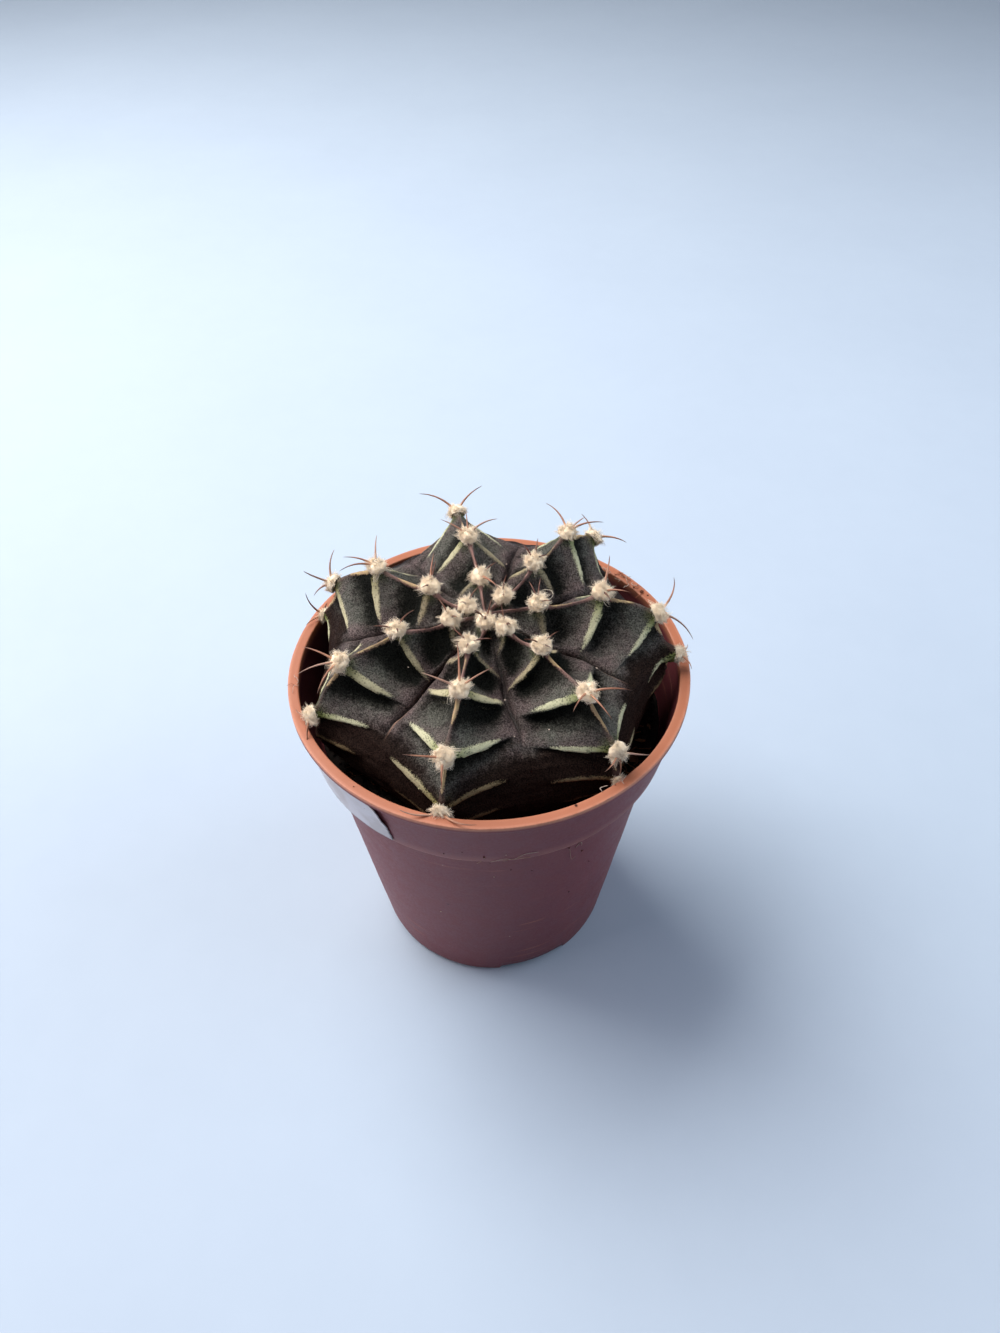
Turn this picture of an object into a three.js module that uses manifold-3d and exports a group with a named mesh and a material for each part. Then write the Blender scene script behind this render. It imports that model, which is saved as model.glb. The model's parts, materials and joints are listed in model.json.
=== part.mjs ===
// Chin cactus in a small plastic nursery pot.
// Millimetres, +Z up. The origin is the centre of the pot's base, on the surface it stands on,
// and the plant's heights are counted from the rim of the pot, which is potHeight above it.

import * as THREE from 'three';
import { mergeVertices } from 'three/addons/utils/BufferGeometryUtils.js';
import { ParametricGeometry } from 'three/addons/geometries/ParametricGeometry.js';
import Module from 'manifold-3d';

const wasm = await Module();
wasm.setup();

// Pot
const potHeight = 52;
const rimRadius = 27.5;
const mouthRadius = 26.05;
const baseRadius = 18.57;
const collarHeight = 10.4;
const collarFootRadius = 25.3;
const shoulderRadius = 23.95;
const wall = 0.9;
const floorThickness = 1.9;
const lipOverhang = 0.55;
const lipDepth = 1.3;
const lipRound = 0.25;
const baseRound = 1.1;
const shoulderRise = 0.5;
const potSegments = 60;
const drainAzimuths = [290, 50, 170];
const drainWidth = 11;
const drainHeight = 1.9;
const drainDepth = 3.6;

// Paper label on the collar
const labelStart = 198;
const labelEnd = 238;
const labelTop = -1.65;
const labelBottom = -9.6;
const labelPaper = 0.2;
const labelGap = 0.1;
const labelTear = [2.4, 2.2, 2, 1.7, 0.4];

// Soil
const soilGap = 0.35;
const soilTop = -9;
const soilRound = 0.5;
const soilSegments = 40;
const seatFrom = 11;
const seatGap = 0.6;

// Plant: the crest of a rib and the furrow between two ribs, both from the crown to the root tip.
// Each point is [radius, height above the rim], one every profileStep along the crest.
const profileStep = 4;
const crestProfile = [
  [0, 9.8], [4, 10.3], [7.9, 10.6], [11.9, 10.6], [15.7, 10.4], [19.5, 9.45], [22.45, 7.25], [24.2, 4],
  [24.9, 0.3], [24.4, -3.4], [22.6, -6.8], [20, -9.8], [16, -12.4], [11.6, -14.4], [7.2, -16.4],
  [4.2, -19.2], [3, -23], [1.9, -26.6], [0, -29],
];
const furrowProfile = [
  [0, 9.8], [4.4, 7.8], [8.7, 6], [10.7, 5.6], [12.7, 5.5], [14.8, 5.5], [17, 5.3], [18.6, 4.9],
  [21, 3.2], [22.2, -0.6], [21.6, -5.2], [19.7, -9.4], [16, -12.4], [11.6, -14.4], [7.2, -16.4],
  [4.2, -19.2], [3, -23], [1.9, -26.6], [0, -29],
];
const crownOffset = -0.37;
const lean = new THREE.Vector2(0.025, 0.06);
const leanFadeFrom = -8.5;
const leanFadeTo = -2;
const crestDip = 0.08;
const flankSag = 0.16;
const flankReach = 0.85;
const dipSkew = 0.7;
const crownValley = 1;
const rimValley = 1.5;
const valleyFadeFrom = 14;
const valleyFadeTo = 25;
const columnsPerRib = 12;
const bodyRows = 34;

// Wool pads and spines
const padGap = 0.3;
const padRadius = 1.35;
const padHeight = 0.62;
const seatStep = 0.6;
const spineRadius = 0.3;
const spineSides = 4;
const spineCurl = 0.15;

// Ribs, anticlockwise from the front one, at their azimuths. Areoles run from the crown outwards:
// at is the distance along the crest, side the crest's swing in degrees, size the pad's scale, and
// each spine is [bearing from straight down the rib, lift off the skin, length].
const ribs = [
  {
    azimuth: 257.2,
    areoles: [
      { at: 2.4, side: 14, size: 0.62, spines: [[0, 50, 2.2]] },
      { at: 7, side: -4.5, size: 0.85, spines: [[-100, 20, 2.4], [112, 20, 2.4]] },
      { at: 14.3, side: 0, size: 1, spines: [[-92, 20, 4.8], [-171, 20, 6], [118, 20, 4.7]] },
      { at: 23.2, side: 0, size: 1, spines: [[-88, 18, 4.7], [8, 18, 3.6]] },
      { at: 29.6, side: 0, size: 0.85, spines: [[-96, 28, 4.6], [98, 28, 5.2], [8, 58, 2.2]] },
    ],
  },
  {
    azimuth: 310.5,
    areoles: [
      { at: 4.4, side: -4, size: 0.7, spines: [[-20, 45, 2]] },
      { at: 10.3, side: 4, size: 0.9, spines: [[-135, 30, 1.8], [70, 30, 1.8]] },
      { at: 19.2, side: 0.6, size: 1, spines: [[55, 20, 5.2], [-10, 20, 5], [-75, 18, 4.4]] },
      { at: 27.8, side: 0.7, size: 1, spines: [[65, 20, 4.6], [-82, 14, 2.8], [-15, 18, 2.4]] },
      { at: 32.6, side: 0.2, size: 0.55, spines: [[-125, 16, 4.6], [125, 16, 3.8]] },
    ],
  },
  {
    azimuth: 5.5,
    areoles: [
      { at: 7.1, side: -4, size: 0.85, spines: [[108, 20, 2.8], [80, 30, 2.8]] },
      { at: 15.7, side: 1.7, size: 1, spines: [[66, 20, 5.4], [-35, 20, 3.8], [-85, 16, 2.8]] },
      { at: 24.4, side: -1.5, size: 1, spines: [[95, 25, 7], [10, 20, 6.6]] },
      { at: 30, side: -6, size: 0.85, spines: [[85, 30, 3], [-90, 22, 3.4]] },
    ],
  },
  {
    azimuth: 50.1,
    areoles: [
      { at: 3.3, side: -8, size: 0.65, spines: [[30, 45, 2]] },
      { at: 10.4, side: 0, size: 0.95, spines: [[68, 22, 2.4], [20, 24, 2.6]] },
      { at: 18.6, side: 1.4, size: 1, spines: [[75, 22, 5.2], [-12, 22, 3.4], [-45, 20, 5]] },
      { at: 26, side: -0.6, size: 1, spines: [[130, 18, 3.6], [-92, 16, 4.8]] },
    ],
  },
  {
    azimuth: 99.9,
    areoles: [
      { at: 5.7, side: -2.6, size: 0.85, spines: [[12, 20, 2], [-62, 20, 2.1], [-152, 20, 4.6]] },
      { at: 13.9, side: 0, size: 1, spines: [[60, 20, 4.2], [-7, 24, 3.4], [-80, 20, 4.4]] },
      { at: 22.9, side: 1, size: 1, spines: [[95, 35, 6], [-100, 35, 5.2]] },
    ],
  },
  {
    azimuth: 152.2,
    areoles: [
      { at: 2.6, side: 14, size: 0.62, spines: [[-110, 40, 2]] },
      { at: 8.4, side: 0, size: 0.95, spines: [[-55, 22, 4.6], [-66, 34, 2.8]] },
      { at: 17.2, side: -1.4, size: 1, spines: [[-63, 22, 4.8], [20, 22, 4.4], [58, 20, 5.4]] },
      { at: 26.5, side: 1, size: 1, spines: [[-160, 20, 4.6], [122, 20, 6.6], [75, 16, 3]] },
      { at: 31, side: 5, size: 0.65, spines: [[157, 20, 4.4], [100, 26, 2.6]] },
    ],
  },
  {
    azimuth: 203,
    areoles: [
      { at: 4.9, side: 0, size: 0.75, spines: [[-70, 30, 2.2]] },
      { at: 12.1, side: -4.7, size: 0.95, spines: [[-155, 22, 2.8], [-5, 22, 2.2]] },
      { at: 20.5, side: -0.3, size: 1, spines: [[-66, 20, 5.3], [-18, 20, 5.2], [42, 18, 5.6]] },
      { at: 28.7, side: 2.5, size: 0.95, spines: [[-68, 20, 3.4], [45, 20, 4.2]] },
    ],
  },
];

// Colours and finishes
const potPlastic = new THREE.MeshStandardMaterial({ color: 0xb5694a, roughness: 0.55, metalness: 0 });
const labelPaperWhite = new THREE.MeshStandardMaterial({ color: 0xe4e2de, roughness: 0.85, metalness: 0 });
const pottingMix = new THREE.MeshStandardMaterial({ color: 0x2b1d15, roughness: 0.95, metalness: 0 });
const darkSkin = new THREE.MeshStandardMaterial({ color: 0x2a2c24, roughness: 0.6, metalness: 0 });
const creamWool = new THREE.MeshStandardMaterial({ color: 0xe6d3b4, roughness: 0.95, metalness: 0 });

const part = new THREE.Group();

function addPiece(name, geometry, material) {
  const piece = new THREE.Mesh(geometry, material);
  piece.name = name;
  part.add(piece);
}

function radians(degrees) {
  return THREE.MathUtils.degToRad(degrees);
}

// A three.js geometry as a solid, with shared corners and no empty triangles
function toSolid(geometry) {
  const bare = geometry.clone();
  bare.deleteAttribute('normal');
  bare.deleteAttribute('uv');
  const merged = mergeVertices(bare, 1e-4);
  const corners = merged.index.array;
  const kept = [];
  for (let i = 0; i < corners.length; i += 3) {
    const [a, b, c] = [corners[i], corners[i + 1], corners[i + 2]];
    if (a !== b && b !== c && c !== a) {
      kept.push(a, b, c);
    }
  }
  return new wasm.Manifold(new wasm.Mesh({
    numProp: 3,
    vertProperties: new Float32Array(merged.attributes.position.array),
    triVerts: new Uint32Array(kept),
  }));
}

function toGeometry(solid) {
  const mesh = solid.getMesh();
  const geometry = new THREE.BufferGeometry();
  geometry.setAttribute('position', new THREE.BufferAttribute(mesh.vertProperties, 3));
  geometry.setIndex(new THREE.BufferAttribute(mesh.triVerts, 1));
  geometry.computeVertexNormals();
  return geometry;
}

// A turned solid about Z, from [radius, height] pairs
function turned(profile, segments) {
  const points = profile.map(([radius, height]) => new THREE.Vector2(radius, height));
  return new THREE.LatheGeometry(points, segments).rotateX(Math.PI / 2);
}

function buildPot() {
  const shoulder = potHeight - collarHeight;
  const profile = [
    [0, 0], [baseRadius - baseRound, 0], [baseRadius - 0.3 * baseRound, 0.3 * baseRound],
    [baseRadius, baseRound], [shoulderRadius, shoulder - shoulderRise], [collarFootRadius, shoulder],
    [rimRadius - lipOverhang, potHeight - lipDepth], [rimRadius, potHeight - lipDepth + lipOverhang],
    [rimRadius, potHeight - lipRound], [rimRadius - lipRound, potHeight],
    [mouthRadius + lipRound, potHeight], [mouthRadius, potHeight - lipRound],
    [rimRadius - lipOverhang - wall, potHeight - lipDepth - lipRound],
    [collarFootRadius - wall, shoulder + shoulderRise],
    [shoulderRadius - wall, shoulder - shoulderRise], [baseRadius - wall, floorThickness + baseRound],
    [baseRadius - wall - baseRound, floorThickness], [0, floorThickness],
  ];
  let pot = toSolid(turned(profile, potSegments));
  for (const azimuth of drainAzimuths) {
    const slot = new THREE.BoxGeometry(2 * drainDepth, drainWidth, 2 * drainHeight);
    slot.translate(baseRadius, 0, 0);
    slot.rotateZ(radians(azimuth));
    pot = pot.subtract(toSolid(slot));
  }
  addPiece('pot', toGeometry(pot), potPlastic);
}

// The outside radius of the collar at a height above the rim (negative, below it)
function collarRadius(height) {
  const fall = (-height - lipDepth) / (collarHeight - lipDepth);
  return THREE.MathUtils.lerp(rimRadius - lipOverhang, collarFootRadius, fall);
}

function buildLabel() {
  const rows = labelTear.length - 1;
  const geometry = new THREE.BoxGeometry(1, 1, 1, 16, rows, 1);
  const position = geometry.attributes.position;
  for (let i = 0; i < position.count; i += 1) {
    const along = position.getX(i) + 0.5;
    const up = position.getY(i) + 0.5;
    const height = THREE.MathUtils.lerp(labelBottom, labelTop, up);
    const end = labelEnd + labelTear[Math.round(up * rows)];
    const azimuth = radians(THREE.MathUtils.lerp(labelStart, end, along));
    const radius = collarRadius(height) + labelGap + (position.getZ(i) + 0.5) * labelPaper;
    position.setXYZ(i, radius * Math.cos(azimuth), radius * Math.sin(azimuth), potHeight + height);
  }
  addPiece('label', geometry, labelPaperWhite);
}

// Soil: it fills the pot to soilTop and has a seat that follows the plant's underside
function buildSoil() {
  const shoulder = potHeight - collarHeight;
  const skin = wall + soilGap;
  const floor = floorThickness + soilGap;
  const top = potHeight + soilTop;
  const seat = crestProfile.slice(seatFrom).map(([radius, height]) => [
    radius === 0 ? 0 : radius + seatGap,
    potHeight + height - seatGap,
  ]);
  const profile = [
    [0, floor], [baseRadius - skin - baseRound, floor], [baseRadius - skin, floor + baseRound],
    [shoulderRadius - skin, shoulder - shoulderRise], [collarFootRadius - skin, shoulder + shoulderRise],
    [collarFootRadius - skin, top - soilRound], [collarFootRadius - skin - soilRound, top],
    [seat[0][0] + soilRound, top],
    ...seat,
  ];
  addPiece('soil', turned(profile, soilSegments), pottingMix);
}

const crestCurve = new THREE.SplineCurve(crestProfile.map(([r, z]) => new THREE.Vector2(r, z)));
const furrowCurve = new THREE.SplineCurve(furrowProfile.map(([r, z]) => new THREE.Vector2(r, z)));
const profileLength = profileStep * (crestProfile.length - 1);

// How deep the dip between two areoles is: 0 at each areole, and deepest, 1, nearer the inner one
function betweenAreoles(rib, at) {
  const stops = [0, ...rib.areoles.map((areole) => areole.at)];
  for (let i = 1; i < stops.length; i += 1) {
    if (at < stops[i]) {
      const share = ((at - stops[i - 1]) / (stops[i] - stops[i - 1])) ** dipSkew;
      return 4 * share * (1 - share);
    }
  }
  return 0;
}

function crestSwing(rib, at) {
  const stops = [{ at: 0, side: 0 }, ...rib.areoles];
  for (let i = 1; i < stops.length; i += 1) {
    if (at < stops[i].at) {
      const share = (at - stops[i - 1].at) / (stops[i].at - stops[i - 1].at);
      return THREE.MathUtils.lerp(stops[i - 1].side, stops[i].side, share);
    }
  }
  return stops[stops.length - 1].side;
}

// The skin: rib number, across from -1 (one furrow) over 0 (crest) to 1 (next furrow), and the
// distance from the crown along the crest
function skinPoint(ribNumber, across, at) {
  const rib = ribs[ribNumber];
  const neighbour = ribs[(ribNumber + Math.sign(across) + ribs.length) % ribs.length];
  let gap = neighbour.azimuth - rib.azimuth;
  if (gap * across < 0) {
    gap += 360 * Math.sign(across);
  }
  const aside = Math.abs(across);
  const share = THREE.MathUtils.clamp(at / profileLength, 0, 1);
  const crest = crestCurve.getPoint(share);
  const furrow = furrowCurve.getPoint(share);
  const reach = Math.min(aside / flankReach, 1);
  const dip = crestDip * (1 - aside) + flankSag * 4 * reach * (1 - reach);
  const outwards = THREE.MathUtils.smoothstep(at, valleyFadeFrom, valleyFadeTo);
  const valley = THREE.MathUtils.lerp(crownValley, rimValley, outwards);
  const rise = (1 - aside) ** valley - dip * betweenAreoles(rib, at);
  const spot = furrow.clone().lerp(crest, rise);
  const azimuth = radians(rib.azimuth + THREE.MathUtils.lerp(crestSwing(rib, at), gap / 2, aside));
  const hold = THREE.MathUtils.smoothstep(spot.y, leanFadeFrom, leanFadeTo);
  const x = spot.x * Math.cos(azimuth);
  const y = spot.x * Math.sin(azimuth);
  return new THREE.Vector3(
    x + hold * crownOffset,
    y,
    potHeight + spot.y + hold * (lean.x * x + lean.y * y),
  );
}

function buildBody() {
  const columns = ribs.length * columnsPerRib;
  const skin = new ParametricGeometry((u, v, target) => {
    const column = Math.round(u * columns) % columns;
    const ribNumber = Math.floor(column / columnsPerRib);
    const across = (2 * (column % columnsPerRib)) / columnsPerRib - 1;
    target.copy(skinPoint(ribNumber, across, (1 - v) * profileLength));
  }, columns, bodyRows);
  addPiece('cactus_body', toGeometry(toSolid(skin)), darkSkin);
}

// A tapered spine: a cone that starts at the origin along +Z and bends over towards +X
function buildSpine(length) {
  const cone = new THREE.ConeGeometry(spineRadius, length, spineSides, 2).rotateX(Math.PI / 2);
  cone.translate(0, 0, length / 2);
  const position = cone.attributes.position;
  for (let i = 0; i < position.count; i += 1) {
    const share = position.getZ(i) / length;
    position.setX(i, position.getX(i) + spineCurl * share * share * length);
  }
  return cone;
}

// One areole: a wool pad just off the crest, with its spines grown out of it
function buildAreole(ribNumber, index) {
  const { at, size, spines } = ribs[ribNumber].areoles[index];
  const foot = skinPoint(ribNumber, 0, at);
  const above = skinPoint(ribNumber, 0, at - seatStep);
  const down = skinPoint(ribNumber, 0, at + seatStep).sub(above).normalize();
  const beside = new THREE.Vector3(0, 0, 1).cross(foot.clone().setZ(0)).normalize();
  const out = down.clone().cross(beside).normalize();
  const seat = new THREE.Matrix4().makeBasis(down, out.clone().cross(down), out);

  const pad = new THREE.SphereGeometry(1, 8, 5);
  pad.scale(padRadius * size, padRadius * size, padHeight * size);
  let solid = toSolid(pad);
  for (const [bearing, lift, length] of spines) {
    const spine = buildSpine(length);
    spine.rotateY(radians(90 - lift));
    spine.rotateZ(radians(bearing));
    solid = solid.add(toSolid(spine));
  }
  const geometry = toGeometry(solid);
  geometry.applyMatrix4(seat);
  const rise = out.multiplyScalar(padGap + padHeight * size);
  geometry.translate(foot.x + rise.x, foot.y + rise.y, foot.z + rise.z);
  addPiece(`areole_${ribNumber + 1}_${index + 1}`, geometry, creamWool);
}

buildPot();
buildLabel();
buildSoil();
buildBody();
ribs.forEach((rib, ribNumber) => {
  rib.areoles.forEach((areole, index) => buildAreole(ribNumber, index));
});

export default part;
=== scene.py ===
import json
import math
import random

import bpy
import numpy as np
from mathutils import Matrix, Vector, noise

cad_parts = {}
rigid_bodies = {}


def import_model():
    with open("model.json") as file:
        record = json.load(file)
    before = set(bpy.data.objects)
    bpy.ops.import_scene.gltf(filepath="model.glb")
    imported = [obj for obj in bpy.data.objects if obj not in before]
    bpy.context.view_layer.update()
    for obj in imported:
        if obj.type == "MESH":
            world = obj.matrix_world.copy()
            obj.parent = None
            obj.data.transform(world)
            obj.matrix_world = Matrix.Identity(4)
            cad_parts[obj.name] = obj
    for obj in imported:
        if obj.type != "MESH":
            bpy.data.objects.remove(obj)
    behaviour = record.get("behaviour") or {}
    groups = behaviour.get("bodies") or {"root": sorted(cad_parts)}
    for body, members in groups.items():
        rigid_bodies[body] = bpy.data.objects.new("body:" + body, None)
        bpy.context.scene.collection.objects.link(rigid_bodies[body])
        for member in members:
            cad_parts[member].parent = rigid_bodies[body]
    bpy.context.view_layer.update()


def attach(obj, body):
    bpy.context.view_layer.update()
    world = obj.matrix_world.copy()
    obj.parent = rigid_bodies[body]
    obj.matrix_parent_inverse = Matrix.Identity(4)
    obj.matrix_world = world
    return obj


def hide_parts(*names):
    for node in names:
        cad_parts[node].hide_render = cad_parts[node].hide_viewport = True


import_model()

# Lengths below are in millimetres unless a name says otherwise; makeMesh turns them into metres.
mm = 0.001
scene = bpy.context.scene


# small helpers for meshes

# points in mm, values: name -> one number per point
def makeMesh(name, points, faces, materials, values=None, smooth=True):
    mesh = bpy.data.meshes.new(name)
    mesh.from_pydata((np.asarray(points, float) * mm).tolist(), [], [list(map(int, f)) for f in faces])
    mesh.polygons.foreach_set("use_smooth", [smooth] * len(mesh.polygons))
    for key, numbers in (values or {}).items():
        layer = mesh.attributes.new(key, "FLOAT", "POINT")
        layer.data.foreach_set("value", np.asarray(numbers, np.float32))
    for material in materials:
        mesh.materials.append(material)
    mesh.update()
    piece = bpy.data.objects.new(name, mesh)
    scene.collection.objects.link(piece)
    return piece


# the piece rides on the one body and stands for its CAD nodes
def settle(piece, slotName, *nodes):
    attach(piece, "root")
    if nodes:
        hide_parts(*nodes)
    return piece


# turn in radians from +X, seen from above
def polarPoint(radius, turn, height):
    return (radius * math.cos(turn), radius * math.sin(turn), height)


# a level ring of points round the middle
def levelRing(radius, height, columns):
    return [polarPoint(radius, 2 * math.pi * j / columns, height) for j in range(columns)]


def gridFaces(rows, columns, wrap=True):
    faces = []
    span = columns if wrap else columns - 1
    for i in range(rows - 1):
        for j in range(span):
            k = (j + 1) % columns
            faces.append((i * columns + j, i * columns + k, (i + 1) * columns + k, (i + 1) * columns + j))
    return faces


def flipped(faces):
    return [tuple(reversed(face)) for face in faces]


# Tapered tubes in one mesh, closed at both ends. strands: (points, radii, shade); the value along runs
# from 0 at each root to 1 at its tip.
def strandMesh(strands, sides):
    allPoints, faces, along, shades = [], [], [], []
    for points, radii, shade in strands:
        points = np.asarray(points, float)
        count = len(points)
        first = len(allPoints)
        tangents = np.gradient(points, axis=0)
        tangents /= np.maximum(np.linalg.norm(tangents, axis=1, keepdims=True), 1e-9)
        helper = np.array([0.0, 0.0, 1.0])
        if abs(tangents[0] @ helper) > 0.9:
            helper = np.array([1.0, 0.0, 0.0])
        for i in range(count - 1):
            across = np.cross(tangents[i], helper)
            across /= max(np.linalg.norm(across), 1e-9)
            other = np.cross(tangents[i], across)
            for k in range(sides):
                turn = 2 * math.pi * k / sides
                allPoints.append(points[i] + radii[i] * (math.cos(turn) * across + math.sin(turn) * other))
                along.append(i / (count - 1))
                shades.append(shade)
        allPoints.append(points[-1])
        along.append(1.0)
        shades.append(shade)
        tip = len(allPoints) - 1
        for i in range(count - 2):
            for k in range(sides):
                n = (k + 1) % sides
                a, b = first + i * sides + k, first + i * sides + n
                faces.append((a, a + sides, b + sides, b))
        last = first + (count - 2) * sides
        for k in range(sides):
            faces.append((last + k, tip, last + (k + 1) % sides))
        faces.append(tuple(first + k for k in range(sides)))
    return allPoints, faces, {"along": along, "shade": shades}


# several (points, faces, values) as one
def joinParts(parts):
    points, faces, values = [], [], {}
    for partPoints, partFaces, partValues in parts:
        shift = len(points)
        points.extend(partPoints)
        faces.extend([tuple(i + shift for i in f) for f in partFaces])
        for key, numbers in partValues.items():
            values.setdefault(key, []).extend(numbers)
    return points, faces, values


# one small angular lump
def crumb(centre, size, rng):
    sides = 5
    levels = ((-0.5, 0.6), (0.1, 1.0), (0.6, 0.55))      # height and radius, as shares of the size
    points = []
    tall = size * rng.uniform(0.5, 0.9)
    firstTurn = rng.uniform(0, 6.28)
    for level, radius in levels:
        for k in range(sides):
            turn = firstTurn + 2 * math.pi * k / sides + level
            r = size * radius * rng.uniform(0.75, 1.2)
            points.append((centre[0] + r * math.cos(turn), centre[1] + r * math.sin(turn),
                           centre[2] + tall * level * rng.uniform(0.8, 1.2)))
    ends = [tuple(reversed(range(sides))), tuple(range(2 * sides, 3 * sides))]
    return points, ends + gridFaces(len(levels), sides)


# a lump in one shade, as joinParts takes it
def shaded(lump, shade):
    points, faces = lump
    return points, faces, {"shade": [shade] * len(points)}


# loose bits, each a strand or a lump, joined to one piece
def settleStrands(name, strands, sides, material):
    points, faces, values = strandMesh(strands, sides)
    settle(makeMesh(name, points, faces, [material], values), "potting_mix")


def settleLumps(name, lumps, material):
    points, faces, values = joinParts(lumps)
    settle(makeMesh(name, points, faces, [material], values, smooth=False), "potting_mix")


# small helpers for node trees

# sockets: input name or number -> a number, a colour or another node's output
def feed(tree, node, sockets):
    for key, value in sockets.items():
        if isinstance(value, bpy.types.NodeSocket):
            tree.links.new(value, node.inputs[key])
        else:
            node.inputs[key].default_value = value
    return node


def addNode(tree, kind, sockets=None, **settings):
    node = tree.nodes.new("ShaderNode" + kind)
    for key, value in settings.items():
        setattr(node, key, value)
    return feed(tree, node, sockets or {})


# an sRGB colour, 0 to 255, as Blender's linear one
def colour(red, green, blue):
    def linear(value):
        value /= 255
        return value / 12.92 if value <= 0.04045 else ((value + 0.055) / 1.055) ** 2.4
    return (linear(red), linear(green), linear(blue), 1.0)


def mixColour(tree, factor, first, second):
    return addNode(tree, "Mix", {0: factor, 6: first, 7: second}, data_type="RGBA").outputs[2]


def calc(tree, operation, first, second, clamp=False):
    node = addNode(tree, "Math", {0: first, 1: second}, operation=operation, use_clamp=clamp)
    return node.outputs[0]


def times(tree, first, second, clamp=False):
    return calc(tree, "MULTIPLY", first, second, clamp)


def plus(tree, first, second, clamp=False):
    return calc(tree, "ADD", first, second, clamp)


# how far a value is over one half, times an amount
def swayOf(tree, value, amount):
    return times(tree, calc(tree, "SUBTRACT", value, 0.5), amount)


def ramp(tree, value, low, high, toLow=0.0, toHigh=1.0):
    node = addNode(tree, "MapRange", {"Value": value, "From Min": low, "From Max": high,
                                      "To Min": toLow, "To Max": toHigh}, interpolation_type="SMOOTHSTEP")
    return node.outputs[0]


# one of the values that makeMesh stores on the points
def readValue(tree, name):
    return addNode(tree, "Attribute", attribute_name=name).outputs["Fac"]


def objectPlace(tree):
    return addNode(tree, "TexCoord").outputs["Object"]


def startMaterial(name, roughness, **shaderValues):
    material = bpy.data.materials.new(name)
    material.use_nodes = True
    tree = material.node_tree
    shader = tree.nodes["Principled BSDF"]
    shader.inputs["Roughness"].default_value = roughness
    for key, value in shaderValues.items():
        shader.inputs[key.replace("_", " ")].default_value = value
    return material, tree, shader


# Base colour, bump and roughness of a finish, all changing over the surface. look["bump"] is [strength,
# depth in mm].
def finishMaterial(tree, shader, look, base, height, roughness=None):
    strength, depth = look["bump"]
    bump = addNode(tree, "Bump", {"Strength": strength, "Distance": depth * mm, "Height": height})
    tree.links.new(base, shader.inputs["Base Color"])
    tree.links.new(bump.outputs["Normal"], shader.inputs["Normal"])
    if roughness is not None:
        tree.links.new(roughness, shader.inputs["Roughness"])


# roughness that follows the height of a grain
def grainRoughness(tree, height, look):
    return ramp(tree, height, 0.3, 0.7, *look["roughness"])


# inputs: name -> default, a number or a colour; outputs: name -> socket kind
def startGroup(name, inputs, outputs):
    group = bpy.data.node_groups.new(name, "ShaderNodeTree")
    for key, default in inputs.items():
        kind = "NodeSocketColor" if isinstance(default, tuple) else "NodeSocketFloat"
        socket = group.interface.new_socket(key, in_out="INPUT", socket_type=kind)
        socket.default_value = default
    for key, kind in outputs.items():
        group.interface.new_socket(key, in_out="OUTPUT", socket_type=kind)
    start = group.nodes.new("NodeGroupInput")
    end = group.nodes.new("NodeGroupOutput")
    return group, start.outputs, end.inputs


def useGroup(tree, group, **sockets):
    node = tree.nodes.new("ShaderNodeGroup")
    node.node_tree = group
    return feed(tree, node, sockets).outputs


# the texture scale for a size in mm
def textureScale(tree, size):
    return calc(tree, "DIVIDE", 1 / mm, size)


# shared effects

# two sizes of unevenness, sizes in mm
def makeGrain():
    group, given, result = startGroup("grain", {"Size": 1.0, "Fine": 0.2, "Balance": 0.5},
                                      {"Height": "NodeSocketFloat", "Mask": "NodeSocketFloat"})
    place = objectPlace(group)
    clouds = []
    for size, detail in (("Size", 3.0), ("Fine", 2.0)):
        scale = textureScale(group, given[size])
        cloud = addNode(group, "TexNoise", {"Vector": place, "Scale": scale, "Detail": detail})
        clouds.append(cloud.outputs["Fac"])
    both = addNode(group, "Mix", {0: given["Balance"], 2: clouds[0], 3: clouds[1]}, data_type="FLOAT")
    group.links.new(both.outputs[0], result["Height"])
    group.links.new(ramp(group, clouds[0], 0.35, 0.65), result["Mask"])
    return group


# scattered specks: spacing and radius in mm, share is how many cells hold one
def makeSpecks():
    group, given, result = startGroup("specks", {"Spacing": 2.0, "Radius": 0.15, "Share": 0.3},
                                      {"Mask": "NodeSocketFloat"})
    scale = textureScale(group, given["Spacing"])
    cells = addNode(group, "TexVoronoi", {"Vector": objectPlace(group), "Scale": scale, "Randomness": 1.0})
    radius = calc(group, "DIVIDE", given["Radius"], given["Spacing"])
    dot = ramp(group, cells.outputs["Distance"], times(group, radius, 0.6), radius, 1.0, 0.0)
    chance = addNode(group, "SeparateColor", {0: cells.outputs["Color"]}).outputs[0]
    chosen = calc(group, "LESS_THAN", chance, given["Share"])
    group.links.new(times(group, dot, chosen), result["Mask"])
    return group


# a slow change from one colour to another, size in mm
def makeDrift():
    group, given, result = startGroup(
        "drift", {"Main": (1, 1, 1, 1), "Other": (0, 0, 0, 1), "Size": 8.0, "Amount": 0.5},
        {"Color": "NodeSocketColor", "Mask": "NodeSocketFloat"})
    scale = textureScale(group, given["Size"])
    cloud = addNode(group, "TexNoise", {"Vector": objectPlace(group), "Scale": scale, "Detail": 4.0,
                                        "Roughness": 0.6})
    mask = ramp(group, cloud.outputs["Fac"], 0.38, 0.64)
    changed = mixColour(group, times(group, mask, given["Amount"]), given["Main"], given["Other"])
    group.links.new(changed, result["Color"])
    group.links.new(mask, result["Mask"])
    return group


grain = makeGrain()
specks = makeSpecks()
drift = makeDrift()
print("shared effects ready")


# the plant's form, the same as in the frame

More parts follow.
